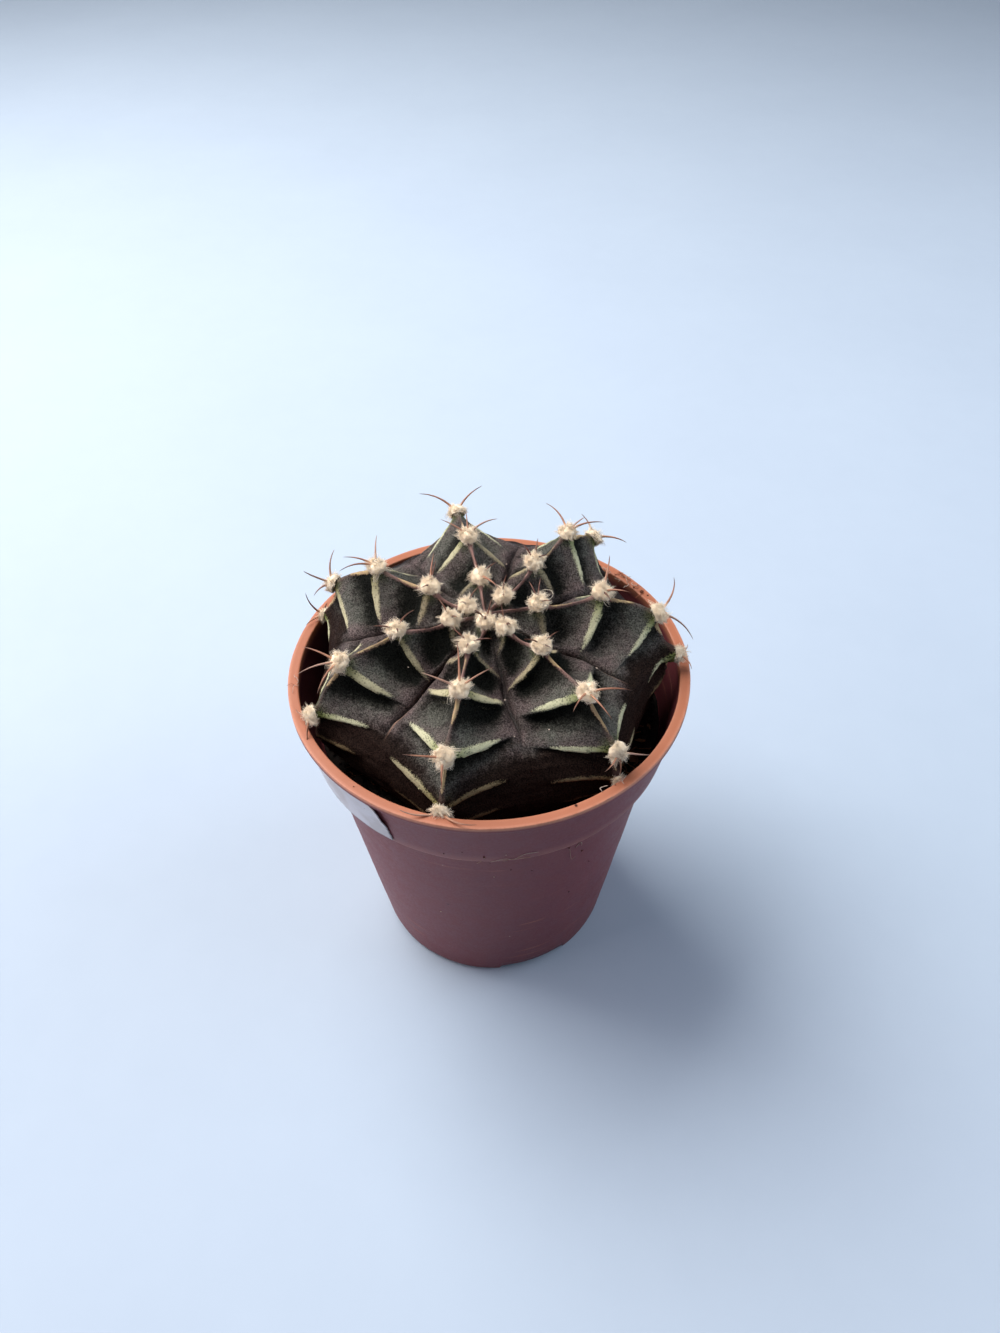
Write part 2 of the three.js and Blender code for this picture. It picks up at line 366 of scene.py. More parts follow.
# Each areole: at is its distance from the crown along the crest, side the crest's swing in degrees, size
# that of its wool, nose how high it stands where that isn't plant["noseHeight"]. Its spines are [bearing
# from straight down the rib, lift off the skin, length], its wisps of loose wool [bearing, length], and its
# bands the pale stripes on its two flanks: [how far across they reach, how far they drift outwards, how
# wide, how brown], where the last two can be left out. Each rib: fold says how far its flanks, the
# clockwise one first, swell over the furrow beside them, and the number after it how dark the painted
# shade in the hollows of the clockwise flank is.
ribs = [
    {"azimuth": 257.2, "fold": (2.2, 1.0), "leftHollowShade": 0.55, "areoles": [
        {"at": 2.4, "side": 14, "size": 0.9, "spines": [[0, 50, 2.4], [150, 50, 2], [-80, 55, 1.8]],
         "bands": []},
        {"at": 7, "side": -4.5, "size": 0.98, "spines": [[-100, 20, 2.4], [112, 20, 2.4], [20, 30, 1.5]],
         "bands": [[-0.9, 0.3, 0.8], [0.96, 0.6, 0.8]]},
        {"at": 14.3, "side": 0, "size": 1, "spines": [[-92, 20, 4.8], [-171, 20, 6], [118, 20, 4.7]],
         "bands": [[-0.78, 0.2, 1.25, 0.35], [0.9, 0.4, 1.35, 0.3]]},
        {"at": 23.2, "side": 0, "size": 1, "spines": [[-88, 18, 4.7], [8, 18, 3.6]],
         "bands": [[-0.74, 0, 1.45, 0.05], [0.68, 0, 1.3, 0]]},
        {"at": 30.8, "side": 0, "size": 0.85,
         "spines": [[-107, 16, 5], [108, 16, 5.4], [4, 76, 1.7], [-40, 60, 1.6]],
         "bands": [[-0.78, 1.1, 1.9, 0.4], [0.72, 1.1, 1, 0.85]]}]},
    {"azimuth": 310.5, "fold": (1.0, 1.9), "leftHollowShade": 0.85, "areoles": [
        {"at": 4.4, "side": -4, "size": 0.98, "spines": [[-20, 45, 2.4], [160, 45, 2]],
         "bands": [[-0.95, 0.6, 0.8]]},
        {"at": 10.3, "side": 4, "size": 1, "spines": [[-135, 30, 1.8], [70, 30, 1.8], [-20, 30, 1.4]],
         "bands": [[-0.94, 0.8, 0.9, 0.4], [0.8, 0.3, 1.1]]},
        {"at": 19.2, "side": 0.6, "size": 1, "spines": [[55, 20, 5.2], [-10, 20, 5], [-75, 18, 4.4]],
         "bands": [[-0.68, -0.7, 1.05], [0.66, 0.2, 1.05]]},
        {"at": 27.8, "side": 0.7, "size": 1, "spines": [[65, 20, 4.6], [-82, 14, 2.8], [-15, 18, 2.4]],
         "bands": [[-0.64, 0.1, 1.1], [0.68, 2.6, 1.1]]},
        {"at": 32.8, "side": 0.2, "size": 0.55, "spines": [[-114, 20, 4.9], [118, 20, 4]],
         "bands": [[-0.72, 1, 0.8, 0.8], [0.65, 2, 1, 0.4]]}]},
    {"azimuth": 5.5, "fold": (0.4, 1.2), "leftHollowShade": 0.6, "areoles": [
        {"at": 7.1, "side": -4, "size": 0.98, "wisps": [[-25, 4.4], [-60, 5], [-45, 3.4], [-95, 3.6]],
         "spines": [[108, 20, 2.8], [80, 30, 2.8], [-40, 30, 1.6]],
         "bands": [[-0.85, 0.5], [0.8, 0.3]]},
        {"at": 15.7, "side": 1.7, "size": 1, "spines": [[66, 20, 5.4], [-35, 20, 3.8], [-85, 16, 2.8]],
         "bands": [[-0.84, 0.2], [0.8, 0.3]]},
        {"at": 24.4, "side": -1.5, "size": 1, "spines": [[95, 25, 7], [10, 20, 6.6]],
         "bands": [[-0.6, 1.5], [0.7, 0.6]]},
        {"at": 30.4, "side": -7, "size": 0.85, "nose": 1.1, "spines": [[85, 30, 3], [-90, 22, 3.4]],
         "bands": [[-0.62, 2.8], [0.7, 1]]}]},
    {"azimuth": 50.1, "fold": (1.0, 1.0), "leftHollowShade": 0.9, "areoles": [
        {"at": 3.3, "side": -8, "size": 0.95, "spines": [[30, 45, 2], [-120, 45, 1.5]], "bands": []},
        {"at": 10.4, "side": 0, "size": 1, "spines": [[68, 22, 2.4], [20, 24, 2.6], [-60, 30, 1.6]],
         "bands": [[-0.74, 1.4], [0.9, 0.2]]},
        {"at": 18.6, "side": 1.4, "size": 1, "spines": [[75, 22, 5.2], [-12, 22, 3.4], [-45, 20, 5]],
         "bands": [[-0.76, 2.4], [0.75, 0.4]]},
        {"at": 26, "side": -0.6, "size": 1, "spines": [[130, 18, 3.6], [-92, 16, 4.8]],
         "bands": [[-0.7, 3.6], [0.7, 0.6]]}]},
    {"azimuth": 99.9, "fold": (1.0, 1.0), "leftHollowShade": 0.5, "areoles": [
        {"at": 5.7, "side": -2.6, "size": 0.96, "spines": [[12, 20, 2], [-62, 20, 2.1], [-152, 20, 4.6]],
         "bands": [[-0.9, 0.3], [0.9, 0.3]]},
        {"at": 13.9, "side": 0, "size": 1, "spines": [[60, 20, 4.2], [-7, 24, 3.4], [-80, 20, 4.4]],
         "bands": [[-0.92, 0.8, 1, 0.6], [0.78, 1.2]]},
        {"at": 22.9, "side": 1, "size": 1, "spines": [[95, 35, 6], [-100, 35, 5.2]],
         "bands": [[-0.7, -0.9], [0.72, 0.2]]}]},
    {"azimuth": 152.2, "fold": (1.0, 0.6), "leftHollowShade": 0.8, "areoles": [
        {"at": 2.6, "side": 14, "size": 0.9, "spines": [[-110, 40, 2], [60, 45, 1.5]], "bands": []},
        {"at": 8.4, "side": 0, "size": 1, "spines": [[-55, 22, 4.6], [-66, 34, 2.8], [100, 30, 1.6]],
         "bands": [[-0.8, 0.3], [0.8, 0.3]]},
        {"at": 17.2, "side": -1.4, "size": 1, "spines": [[-63, 22, 4.8], [20, 22, 4.4], [58, 20, 5.4]],
         "bands": [[-0.75, 0.4, 1, 0.3], [0.76, 0.6, 1, 0.4]]},
        {"at": 26.5, "side": 1, "size": 1, "spines": [[-160, 20, 4.6], [122, 20, 6.6], [75, 16, 3]],
         "bands": [[-0.7, 0.6, 1, 0.3], [0.77, 0.8, 1, 0.35]]},
        {"at": 31.8, "side": 5, "size": 0.65, "spines": [[157, 20, 4.4], [85, 22, 2.6], [-95, 18, 3]],
         "bands": [[-0.6, 0.8], [0.64, 1.8]]}]},
    {"azimuth": 203, "fold": (1.6, 0.1), "leftHollowShade": 0.7, "areoles": [
        {"at": 4.9, "side": 0, "size": 0.96, "spines": [[-70, 30, 2.2], [100, 40, 1.6]],
         "bands": [[-0.9, 0.3, 0.8], [0.92, 0.3, 0.8]]},
        {"at": 12.1, "side": -4.7, "size": 0.95, "spines": [[-155, 22, 2.8], [-5, 22, 2.2], [90, 30, 1.6]],
         "bands": [[-0.8, 0.3], [0.92, -0.2, 0.85, 0.5]]},
        {"at": 20.5, "side": -0.3, "size": 1, "spines": [[-66, 20, 5.3], [-18, 20, 5.2], [42, 18, 5.6]],
         "bands": [[-0.7, 1, 1, 0.2], [0.7, -0.2, 1, 0.3]]},
        {"at": 29.1, "side": 2, "size": 0.95, "spines": [[-68, 20, 3.4], [45, 20, 4.2]],
         "bands": [[-0.7, 0.6], [0.7, 0.4]]}]},
]

plant = {
    "rimHeight": 52.0,
    "step": 4.0,
    # radius and height above the rim, one point every step along the crest
    "crest": [[0, 9.8], [4, 10.3], [7.9, 10.6], [11.9, 10.6], [15.7, 10.4], [19.5, 9.45], [22.45, 7.25],
              [24.2, 4], [24.9, 0.3], [24.4, -3.4], [22.6, -6.8], [20, -9.8], [16, -12.4], [11.6, -14.4],
              [7.2, -16.4], [4.2, -19.2], [3, -23], [1.9, -26.6], [0, -29]],
    "furrow": [[0, 9.8], [4.4, 7.8], [8.7, 6], [10.7, 5.6], [12.7, 5.5], [14.8, 5.5], [17, 5.3], [18.6, 4.9],
               [21, 3.2], [22.2, -0.6], [21.6, -5.2], [19.7, -9.4], [16, -12.4], [11.6, -14.4],
               [7.2, -16.4], [4.2, -19.2], [3, -23], [1.9, -26.6], [0, -29]],
    "offset": -0.37,           # the part above the soil stands this far to the left and leans
    "lean": (0.025, 0.06),
    "leanFade": (-8.5, -2.0),
    "crestDip": 0.09,          # between areoles the crest dips and the flanks sag, as shares of the
    "flankSag": 0.3,           # rib's height
    "flankReach": 0.85,
    "dipSkew": 0.6,            # under 1 the dips are deepest just outside the inner areole
    "dipMargin": 0.08,         # share of a stretch at each end that stays level under the bands
    "dipFade": (36, 44),
    "valley": (1.0, 1.5),      # how round the valleys are near the crown and at the rim
    "valleyFade": (14, 25),
    "hiddenSpacing": 4.4,      # areoles that the pot hides
    "hiddenBand": (0.66, 0.8, 0.8, 1.15),
    "skinEnd": 42.0,           # below this it is root
    "lowSkin": (26, 32),       # where the skin turns under, into the pot
    "columnsPerRib": 68,
    "columnCrowding": 0.55,    # how much closer the columns lie at the crests and the furrows
    "rows": 200,
    "noseHeight": 0.35,        # each areole sits on a small nose
    "noseWidth": 1.3,
    "bandHeight": 0.14,
    "bandWidth": 0.8,
    "bandBow": 0.22,
    "bandGrowth": ([3, 8, 14], [0.5, 0.62, 1.0]),      # distance from the crown, width
    "bandVariety": (0.92, 1.08),
    "youngBands": (8, 18),     # bands nearer the crown than this are brownish
    "youngBrown": 0.7,
    "creamLength": (0.4, 0.68),      # share of the way to the next areole
    "creamStart": 0.7,
    "creamHalf": 0.62,
    "keelHeight": 0.07,
    "keelWidth": 0.4,
    "creaseDepth": 0.8,
    "creaseWidth": 0.28,
    "shoulderHeight": 0.3,
    "shoulderPlace": 1.3,      # how far from the furrow the flanks swell
    "furrowWander": 0.9,       # degrees that the furrows wind to either side
    "windPitch": 0.33,
    "windStart": (3, 8),
    "windEnd": (28, 36),
    "unevenness": 0.17,
    "wrinkles": 0.2,
    "seed": 11,
}


# soft steps and bumps that both the skin and the pot use
def smoothstep(value, low, high):
    share = np.clip((value - low) / (high - low), 0, 1)
    return share * share * (3 - 2 * share)


def fade(value, low, high):
    return 1 - smoothstep(value, low, high)


def hill(value, width):
    return np.exp(-(value / width) ** 2)


# A smooth curve through evenly spaced points, share from 0 to 1
def alongProfile(points, share):
    points = np.asarray(points, float)
    last = len(points) - 1
    place = np.clip(np.asarray(share, float), 0, 1) * last
    cell = np.minimum(place.astype(int), last - 1)
    t = (place - cell)[..., None]
    before, here = points[np.maximum(cell - 1, 0)], points[cell]
    after, beyond = points[cell + 1], points[np.minimum(cell + 2, last)]
    slopeHere, slopeAfter = (after - before) / 2, (beyond - here) / 2
    return ((2 * here - 2 * after + slopeHere + slopeAfter) * t ** 3
            + (-3 * here + 3 * after - 2 * slopeHere - slopeAfter) * t ** 2 + slopeHere * t + here)


profileLength = plant["step"] * (len(plant["crest"]) - 1)


def stopsOf(rib):
    places = [0.0] + [a["at"] for a in rib["areoles"]]
    while places[-1] < plant["skinEnd"]:
        places.append(places[-1] + plant["hiddenSpacing"])
    return places


# Reach, drift outwards, width and brownness of one areole's band on one flank. A width of 0 is no stripe.
def bandOf(rib, number, flank):
    if number >= len(rib["areoles"]):
        reach, *others = plant["hiddenBand"]
        return [reach * flank, *others]
    for band in rib["areoles"][number]["bands"]:
        if band[0] * flank > 0:
            return band + [1, 0][len(band) - 2:]
    return [0.7 * flank, 0.3, 0, 0]


# how far outwards of its areole the middle of a band runs, along goes from 0 to 1
def bandDrift(rib, number, flank, along):
    bow = plant["bandBow"] * math.sin(rib["azimuth"] + 2.3 * number + 1.7 * flank)
    return bandOf(rib, number, flank)[1] * along + bow * np.sin(np.pi * along)


# How far along its stretch between two areoles a place is, 0 to 1. The stretches bend with the bands.
def stretchOf(rib, across, at):
    share = np.zeros(at.shape)
    low = np.zeros(at.shape)
    for number, stop in enumerate(stopsOf(rib)[1:]):
        high = np.full(at.shape, float(stop))
        for flank in (-1, 1):
            along = np.clip(across / bandOf(rib, number, flank)[0], 0, 1)
            high = high + np.where(across * flank > 0, bandDrift(rib, number, flank, along), 0)
        inside = (at >= low) & (at < high)
        share = np.where(inside, (at - low) / (high - low), share)
        low = high
    return share


# Points on the smooth skin: across runs -1 furrow, 0 crest, 1 next furrow; at is mm along the crest
def skin(ribNumber, across, at):
    across, at = np.broadcast_arrays(np.asarray(across, float), np.asarray(at, float))
    rib = ribs[ribNumber]
    nextGap = (ribs[(ribNumber + 1) % 7]["azimuth"] - rib["azimuth"]) % 360
    lastGap = (rib["azimuth"] - ribs[ribNumber - 1]["azimuth"]) % 360
    aside = np.abs(across)
    share = at / profileLength
    crest = alongProfile(plant["crest"], share)
    furrow = alongProfile(plant["furrow"], share)
    margin = plant["dipMargin"]
    between = np.clip((stretchOf(rib, across, at) - margin) / (1 - 2 * margin), 0, 1) ** plant["dipSkew"]
    between = 4 * between * (1 - between) * fade(at, *plant["dipFade"])
    reach = np.minimum(aside / plant["flankReach"], 1)
    dip = plant["crestDip"] * (1 - aside) + plant["flankSag"] * 4 * reach * (1 - reach)
    low, high = plant["valley"]
    power = low + (high - low) * smoothstep(at, *plant["valleyFade"])
    rise = (1 - aside) ** power - dip * between
    spot = furrow + (crest - furrow) * rise[..., None]
    swing = np.interp(at, [0] + [a["at"] for a in rib["areoles"]], [0] + [a["side"] for a in rib["areoles"]])
    gap = np.where(across >= 0, nextGap, -lastGap)
    furrowNumber = np.where(across >= 0, ribNumber, (ribNumber - 1) % 7)
    winding = plant["furrowWander"] * np.sin(plant["windPitch"] * at + 2.4 * furrowNumber)
    winding = winding * smoothstep(at, *plant["windStart"]) * aside ** 3 * fade(at, *plant["windEnd"])
    azimuth = np.radians(rib["azimuth"] + swing * (1 - aside) + aside * gap / 2 + winding)
    hold = smoothstep(spot[..., 1], *plant["leanFade"])
    x = spot[..., 0] * np.cos(azimuth)
    y = spot[..., 0] * np.sin(azimuth)
    z = plant["rimHeight"] + spot[..., 1] + hold * (plant["lean"][0] * x + plant["lean"][1] * y)
    return np.stack([x + hold * plant["offset"], y, z], axis=-1)


# Foot point of an areole and the directions down the rib, to the side and out of the skin
def areoleFrame(ribNumber, at):
    foot, above, below = skin(ribNumber, [0, 0, 0], [at, at - 0.6, at + 0.6])
    down = Vector(below - above).normalized()
    beside = Vector((0, 0, 1)).cross(Vector((foot[0], foot[1], 0))).normalized()
    out = down.cross(beside).normalized()
    return Vector(foot), down, out.cross(down), out


skinLook = {
    # the lighter colours of the granules are painted highlights, glints of light on them
    "ground": colour(46, 46, 40), "glints": colour(102, 101, 92),
    "purpleGround": colour(54, 42, 42), "purpleGlints": colour(114, 97, 94),
    "oliveGround": colour(32, 38, 12), "oliveGlints": colour(88, 98, 46),
    # painted shade: darker ground and dimmer glints in the hollows below each areole and, browner, low down
    # where the skin turns under into the pot
    "hollowShade": colour(10, 11, 9), "shadedGlints": colour(33, 34, 30),
    "lowShade": colour(20, 12, 10), "lowShadedGlints": colour(50, 36, 30),
    # crest: the line along each crest, its own paler tone with a painted highlight where the ridge catches
    # the light
    "crest": colour(156, 120, 112), "tan": colour(190, 166, 124), "fold": colour(150, 116, 96),
    "sage": colour(198, 197, 162), "yellowGreen": colour(128, 138, 78), "bandDots": colour(36, 42, 20),
    # painted shadow in the creases of the furrows
    "creaseShadow": colour(9, 9, 7), "bits": colour(214, 206, 188), "root": colour(120, 92, 62),
    "papilla": 0.17,           # size of the skin's granules
    "warpSize": 0.24, "warp": 0.14,
    "purpleShare": (0.7, 0.3, 0.35),      # by a slow cloud, on the treads as painted light, and low down
    "oliveShare": (0.85, 0.8), "oliveReach": (3.2, 1.4), "oliveWander": 1.6,
    "wander": 0.5,             # how far the edges of all markings wander
    "ragged": -0.16,           # and how far the granules break them
    "bandRagged": -0.2, "bandFade": (0.3, -0.38), "bandCover": (0.9, 0.3),
    "creaseShadowShare": 0.75, "bitShare": 0.85, "creamShare": 0.9,
    "bump": (1.0, 0.08), "roughness": (0.8, 0.46), "specular": (0.3, 0.04),
}


# small round granules
def skinDomes(tree):
    look = skinLook
    place = objectPlace(tree)
    warp = addNode(tree, "TexNoise", {"Vector": place, "Scale": 1000 / look["warpSize"], "Detail": 1.0})
    warp = addNode(tree, "VectorMath", {0: warp.outputs["Color"], 1: (look["warp"] * mm,) * 3, 2: place},
                   operation="MULTIPLY_ADD").outputs[0]
    cells = addNode(tree, "TexVoronoi", {"Vector": warp, "Scale": 1000 / look["papilla"], "Randomness": 1.0})
    return ramp(tree, cells.outputs["Distance"], 0.84, 0.22)


# the dark ground and its painted glints: purple, on the treads as painted light, olive round the wool,
# painted shade in the hollows
def skinGround(tree, uneven, domes, furrowDistance):
    look = skinLook
    cloud = useGroup(tree, drift, Size=6.0, Amount=1.0)["Mask"]
    low = readValue(tree, "low")
    cloudShare, litTreadShare, lowShare = look["purpleShare"]
    purple = plus(tree, times(tree, cloud, cloudShare), times(tree, readValue(tree, "litTread"), litTreadShare))
    purple = plus(tree, purple, times(tree, low, lowShare))
    purple = plus(tree, purple, ramp(tree, furrowDistance, 4.0, 0.4, -0.25, 0.35), clamp=True)
    olive = plus(tree, readValue(tree, "areoleDistance"), times(tree, uneven["Height"], look["oliveWander"]))
    olive = ramp(tree, olive, *look["oliveReach"])
    hollowShade = plus(tree, readValue(tree, "hollowShade"), times(tree, cloud, 0.15))
    hollowShade = calc(tree, "SUBTRACT", hollowShade, swayOf(tree, uneven["Height"], 0.9))
    hollowShade = ramp(tree, hollowShade, 0.0, 0.85)
    layers = []
    for plain, tinted, green, greenShare, deep, lowest in (
            ("ground", "purpleGround", "oliveGround", look["oliveShare"][0], "hollowShade", "lowShade"),
            ("glints", "purpleGlints", "oliveGlints", look["oliveShare"][1], "shadedGlints", "lowShadedGlints")):
        layer = mixColour(tree, purple, look[plain], look[tinted])
        layer = mixColour(tree, times(tree, olive, greenShare), layer, look[green])
        layers.append(mixColour(tree, hollowShade, layer, mixColour(tree, low, look[deep], look[lowest])))
    # the granules carry the painted glints, patchy across the skin
    patchy = ramp(tree, uneven["Height"], 0.36, 0.64, 0.5, 1.0)
    return mixColour(tree, times(tree, domes, patchy), *layers), hollowShade


# the paler line along each crest, partly its own tone and partly a painted highlight, and the tan stripes
# outwards of the wool
def skinCrests(tree, uneven, grainy, skinColour):
    look = skinLook
    crestToneAndHighlight = ramp(tree, plus(tree, readValue(tree, "crestDistance"), grainy), 0.62, 0.16)
    crestToneAndHighlight = times(tree, crestToneAndHighlight, readValue(tree, "crestToneAndHighlightShare"))
    skinColour = mixColour(tree, crestToneAndHighlight, skinColour, look["crest"])
    cream = ramp(tree, plus(tree, readValue(tree, "creamEdge"), grainy), 0.12, -0.12)
    creamColour = mixColour(tree, times(tree, uneven["Mask"], 0.35), look["tan"], look["crest"])
    return mixColour(tree, times(tree, cream, look["creamShare"]), skinColour, creamColour)


# the pale bands, and where they are
def skinBands(tree, domes, grainy, skinColour):
    look = skinLook
    ragged = plus(tree, grainy, swayOf(tree, domes, look["bandRagged"]))
    band = ramp(tree, plus(tree, readValue(tree, "bandEdge"), ragged), *look["bandFade"])
    bandShare, youth = readValue(tree, "bandShare"), readValue(tree, "bandYouth")
    bandColour = mixColour(tree, ramp(tree, bandShare, 0.5, 0.05), look["sage"], look["yellowGreen"])
    bandColour = mixColour(tree, youth, bandColour, look["tan"])
    darkDots = useGroup(tree, specks, Spacing=0.3, Radius=0.15, Share=0.6)
    dotted = times(tree, darkDots["Mask"], ramp(tree, bandShare, 0.8, 0.1, 0.16, 0.85))
    bandColour = mixColour(tree, dotted, bandColour, look["bandDots"])
    cover = times(tree, band, ramp(tree, youth, 0.0, 1.2, *look["bandCover"]))
    return mixColour(tree, cover, skinColour, bandColour), band


# folds, painted shadow along the creases, bits of dust and the root
def skinDetails(tree, wander, furrowDistance, skinColour):
    look = skinLook
    folded = plus(tree, readValue(tree, "foldEdge"), times(tree, wander, 0.8))
    skinColour = mixColour(tree, ramp(tree, folded, 0.15, 0.8, 0.0, 0.8), skinColour, look["fold"])
    # painted shadow along the crease of each furrow
    creaseShadow = ramp(tree, plus(tree, furrowDistance, times(tree, wander, 0.5)), 0.34, 0.04)
    creaseShadow = times(tree, creaseShadow, readValue(tree, "creaseShare"))
    skinColour = mixColour(tree, times(tree, creaseShadow, look["creaseShadowShare"]), skinColour, look["creaseShadow"])
    bits = useGroup(tree, specks, Spacing=3.1, Radius=0.13, Share=0.1)
    skinColour = mixColour(tree, times(tree, bits["Mask"], look["bitShare"]), skinColour, look["bits"])
    return mixColour(tree, readValue(tree, "rootMask"), skinColour, look["root"])


def makeSkinMaterial():
    look = skinLook
    material, tree, shader = startMaterial("darkSkin", 0.5, Specular_IOR_Level=0.5)
    domes = skinDomes(tree)
    uneven = useGroup(tree, grain, Size=0.9, Fine=0.25, Balance=0.5)
    furrowDistance = readValue(tree, "furrowDistance")
    wander = swayOf(tree, uneven["Height"], look["wander"])
    grainy = plus(tree, wander, swayOf(tree, domes, look["ragged"]))
    skinColour, hollowShade = skinGround(tree, uneven, domes, furrowDistance)
    skinColour = skinCrests(tree, uneven, grainy, skinColour)
    skinColour, band = skinBands(tree, domes, grainy, skinColour)
    skinColour = skinDetails(tree, wander, furrowDistance, skinColour)
    height = plus(tree, times(tree, domes, 0.7), times(tree, uneven["Height"], 0.5))
    height = times(tree, height, ramp(tree, band, 0.0, 1.0, 1.0, 0.6))
    finishMaterial(tree, shader, look, skinColour, height, ramp(tree, domes, 0.0, 1.0, *look["roughness"]))
    tree.links.new(ramp(tree, hollowShade, 0.0, 1.0, *look["specular"]), shader.inputs["Specular IOR Level"])
    return material


# Signed distance in mm to the edge of the nearest pale band, how far along it, and its youth
def bandFields(ribNumber, across, at, crestDistance, total, stretch):
    rng = random.Random(plant["seed"] + ribNumber)
    rib = ribs[ribNumber]
    edge, share, youth = np.full(at.shape, 9.0), np.zeros(at.shape), np.zeros(at.shape)
    stops = stopsOf(rib)[1:]
    for number, flank in [(number, flank) for number in range(len(stops)) for flank in (-1, 1)]:
        reach, _, wide, brown = bandOf(rib, number, flank)
        start = stops[number]
        if not wide:
            continue
        size = np.interp(start, *plant["bandGrowth"]) * rng.uniform(*plant["bandVariety"]) * wide
        own = across / reach
        along = np.clip(own, 0, 1)
        off = np.abs(at - start - bandDrift(rib, number, flank, along)) * stretch
        width = plant["bandWidth"] * size * (1 - along ** 3) * (0.5 + 0.5 * smoothstep(along, 0.05, 0.5))
        edgeHere = np.where(own > 1, np.hypot(off, (own - 1) * abs(reach) * total), off - width)
        edgeHere = np.where(own < 0, np.hypot(off, crestDistance), edgeHere)
        edgeHere = edgeHere + fade(start, 2, 6) * 0.2 + smoothstep(at, 36, 41)
        better = edgeHere < edge
        edge = np.where(better, edgeHere, edge)
        share = np.where(better, along, share)
        young = float(fade(start, *plant["youngBands"])) * plant["youngBrown"]
        youth = np.where(better, max(young, brown), youth)
    return edge, share, youth


# Signed distance to the edge of the tan stripes that run outwards from each areole along the crest
def creamField(ribNumber, at, crestDistance):
    rng = random.Random(plant["seed"] * 7 + ribNumber)
    stops = stopsOf(ribs[ribNumber])
    field = np.full(at.shape, 9.0)
    for start, end in zip(stops[1:], stops[2:]):
        length = (end - start) * rng.uniform(*plant["creamLength"])
        run = (at - start - plant["creamStart"]) / length
        half = plant["creamHalf"] * np.sqrt(np.clip(1 - run, 0, 1)) * np.clip(run * 3, 0.2, 1)
        outside = 2 * np.clip(-run, 0, 1) + 2 * np.clip(run - 1, 0, 1)
        field = np.minimum(field, crestDistance + 0.05 - half + outside)
    return field + fade(at, 6, 14) * 0.5 + smoothstep(at, 34, 38)


# What colours and lifts the skin of one rib, one number per point: distances in mm, the rest shares.
# Also how high the areoles' noses stand there and how far the flank swells.
def ribFields(ribNumber, across, at, spot):
    rib, lastRib, nextRib = ribs[ribNumber], ribs[ribNumber - 1], ribs[(ribNumber + 1) % 7]
    # true distances, measured along each row and along each column
    lengths = np.linalg.norm(np.diff(spot, axis=1), axis=2)
    travel = np.concatenate([np.zeros((len(spot), 1)), np.cumsum(lengths, axis=1)], axis=1)
    middle = travel[:, across.shape[1] // 2][:, None]
    total = np.where(across < 0, middle, travel[:, -1][:, None] - middle)
    crestDistance = np.abs(travel - middle)
    furrowDistance = total - crestDistance
    probe = 0.05
    stretch = np.linalg.norm(skin(ribNumber, across, at + probe) - spot, axis=2) / probe
    stretch = np.maximum(stretch, 0.8)
    bandEdge, bandShare, bandYouth = bandFields(ribNumber, across, at, crestDistance, total, stretch)
    nose, areoleDistance = np.zeros(at.shape), np.full(at.shape, 9.0)
    for areole in rib["areoles"]:
        away = np.hypot(crestDistance, at - areole["at"])
        tall = areole.get("nose", plant["noseHeight"]) / plant["noseHeight"]
        nose = np.maximum(nose, tall * hill(away, plant["noseWidth"]))
        areoleDistance = np.minimum(areoleDistance, away)
    # painted shade just outside each areole, where the skin faces down away from the light, and painted light
    # on the paler treads before the next
    share = stretchOf(rib, across, at)
    litTread = smoothstep(share, 0.35, 0.95) * smoothstep(at, 3, 9)
    hollowShade = smoothstep(share, 0.02, 0.08) * fade(share, 0.22, 0.95) * smoothstep(at, 0, 6)
    hollowShade *= fade(np.abs(across), 0.5, 1.15) * np.where(across > 0, 1.0, rib["leftHollowShade"])
    # the skin turning under into the pot gets painted shade as well
    low = smoothstep(at, *plant["lowSkin"])
    hollowShade = np.maximum(hollowShade, 0.9 * low)
    # furrows are sharper where either flank swells over them
    over = np.where(across < 0, rib["fold"][0], rib["fold"][1])
    other = np.where(across < 0, lastRib["fold"][1], nextRib["fold"][0])
    sharp = smoothstep(np.maximum(over, other), 0.9, 1.7)
    creaseShare = smoothstep(at, 3 - sharp, 12 - 5 * sharp) * fade(at, 22 + 3 * sharp, 30 + 3 * sharp)
    creaseShare *= 0.7 + 0.3 * sharp
    return {
        "crestDistance": crestDistance, "furrowDistance": furrowDistance, "bandEdge": bandEdge,
        "bandShare": bandShare, "bandYouth": bandYouth, "areoleDistance": areoleDistance, "litTread": litTread,
        "hollowShade": hollowShade, "low": low, "creaseShare": creaseShare,
        "foldEdge": np.clip(over - 1, 0, 1) * hill(furrowDistance - 0.42, 0.2) * creaseShare,
        "crestToneAndHighlightShare": 0.15 + 0.65 * fade(at, 12, 20),
        "creamEdge": creamField(ribNumber, at, crestDistance),
        "rootMask": smoothstep(at, 43, 47)}, nose, over


# how far the noses, bands, keels and folds stand off the smooth skin
def ribLift(at, fields, nose, over):
    crease = plant["creaseDepth"] * fields["creaseShare"]
    band = fade(fields["bandEdge"], -0.8, 0.9) * np.minimum(1, 0.5 + 0.5 * fields["bandShare"])
    lift = plant["noseHeight"] * nose + plant["bandHeight"] * band
    lift += plant["keelHeight"] * hill(fields["crestDistance"], plant["keelWidth"]) * smoothstep(at, 1, 4)
    lift -= crease * np.exp(-fields["furrowDistance"] / plant["creaseWidth"])
    shoulder = hill(fields["furrowDistance"] - plant["shoulderPlace"], 1.0)
    lift += plant["shoulderHeight"] * over * crease * shoulder
    return lift * fade(at, 36, 42)


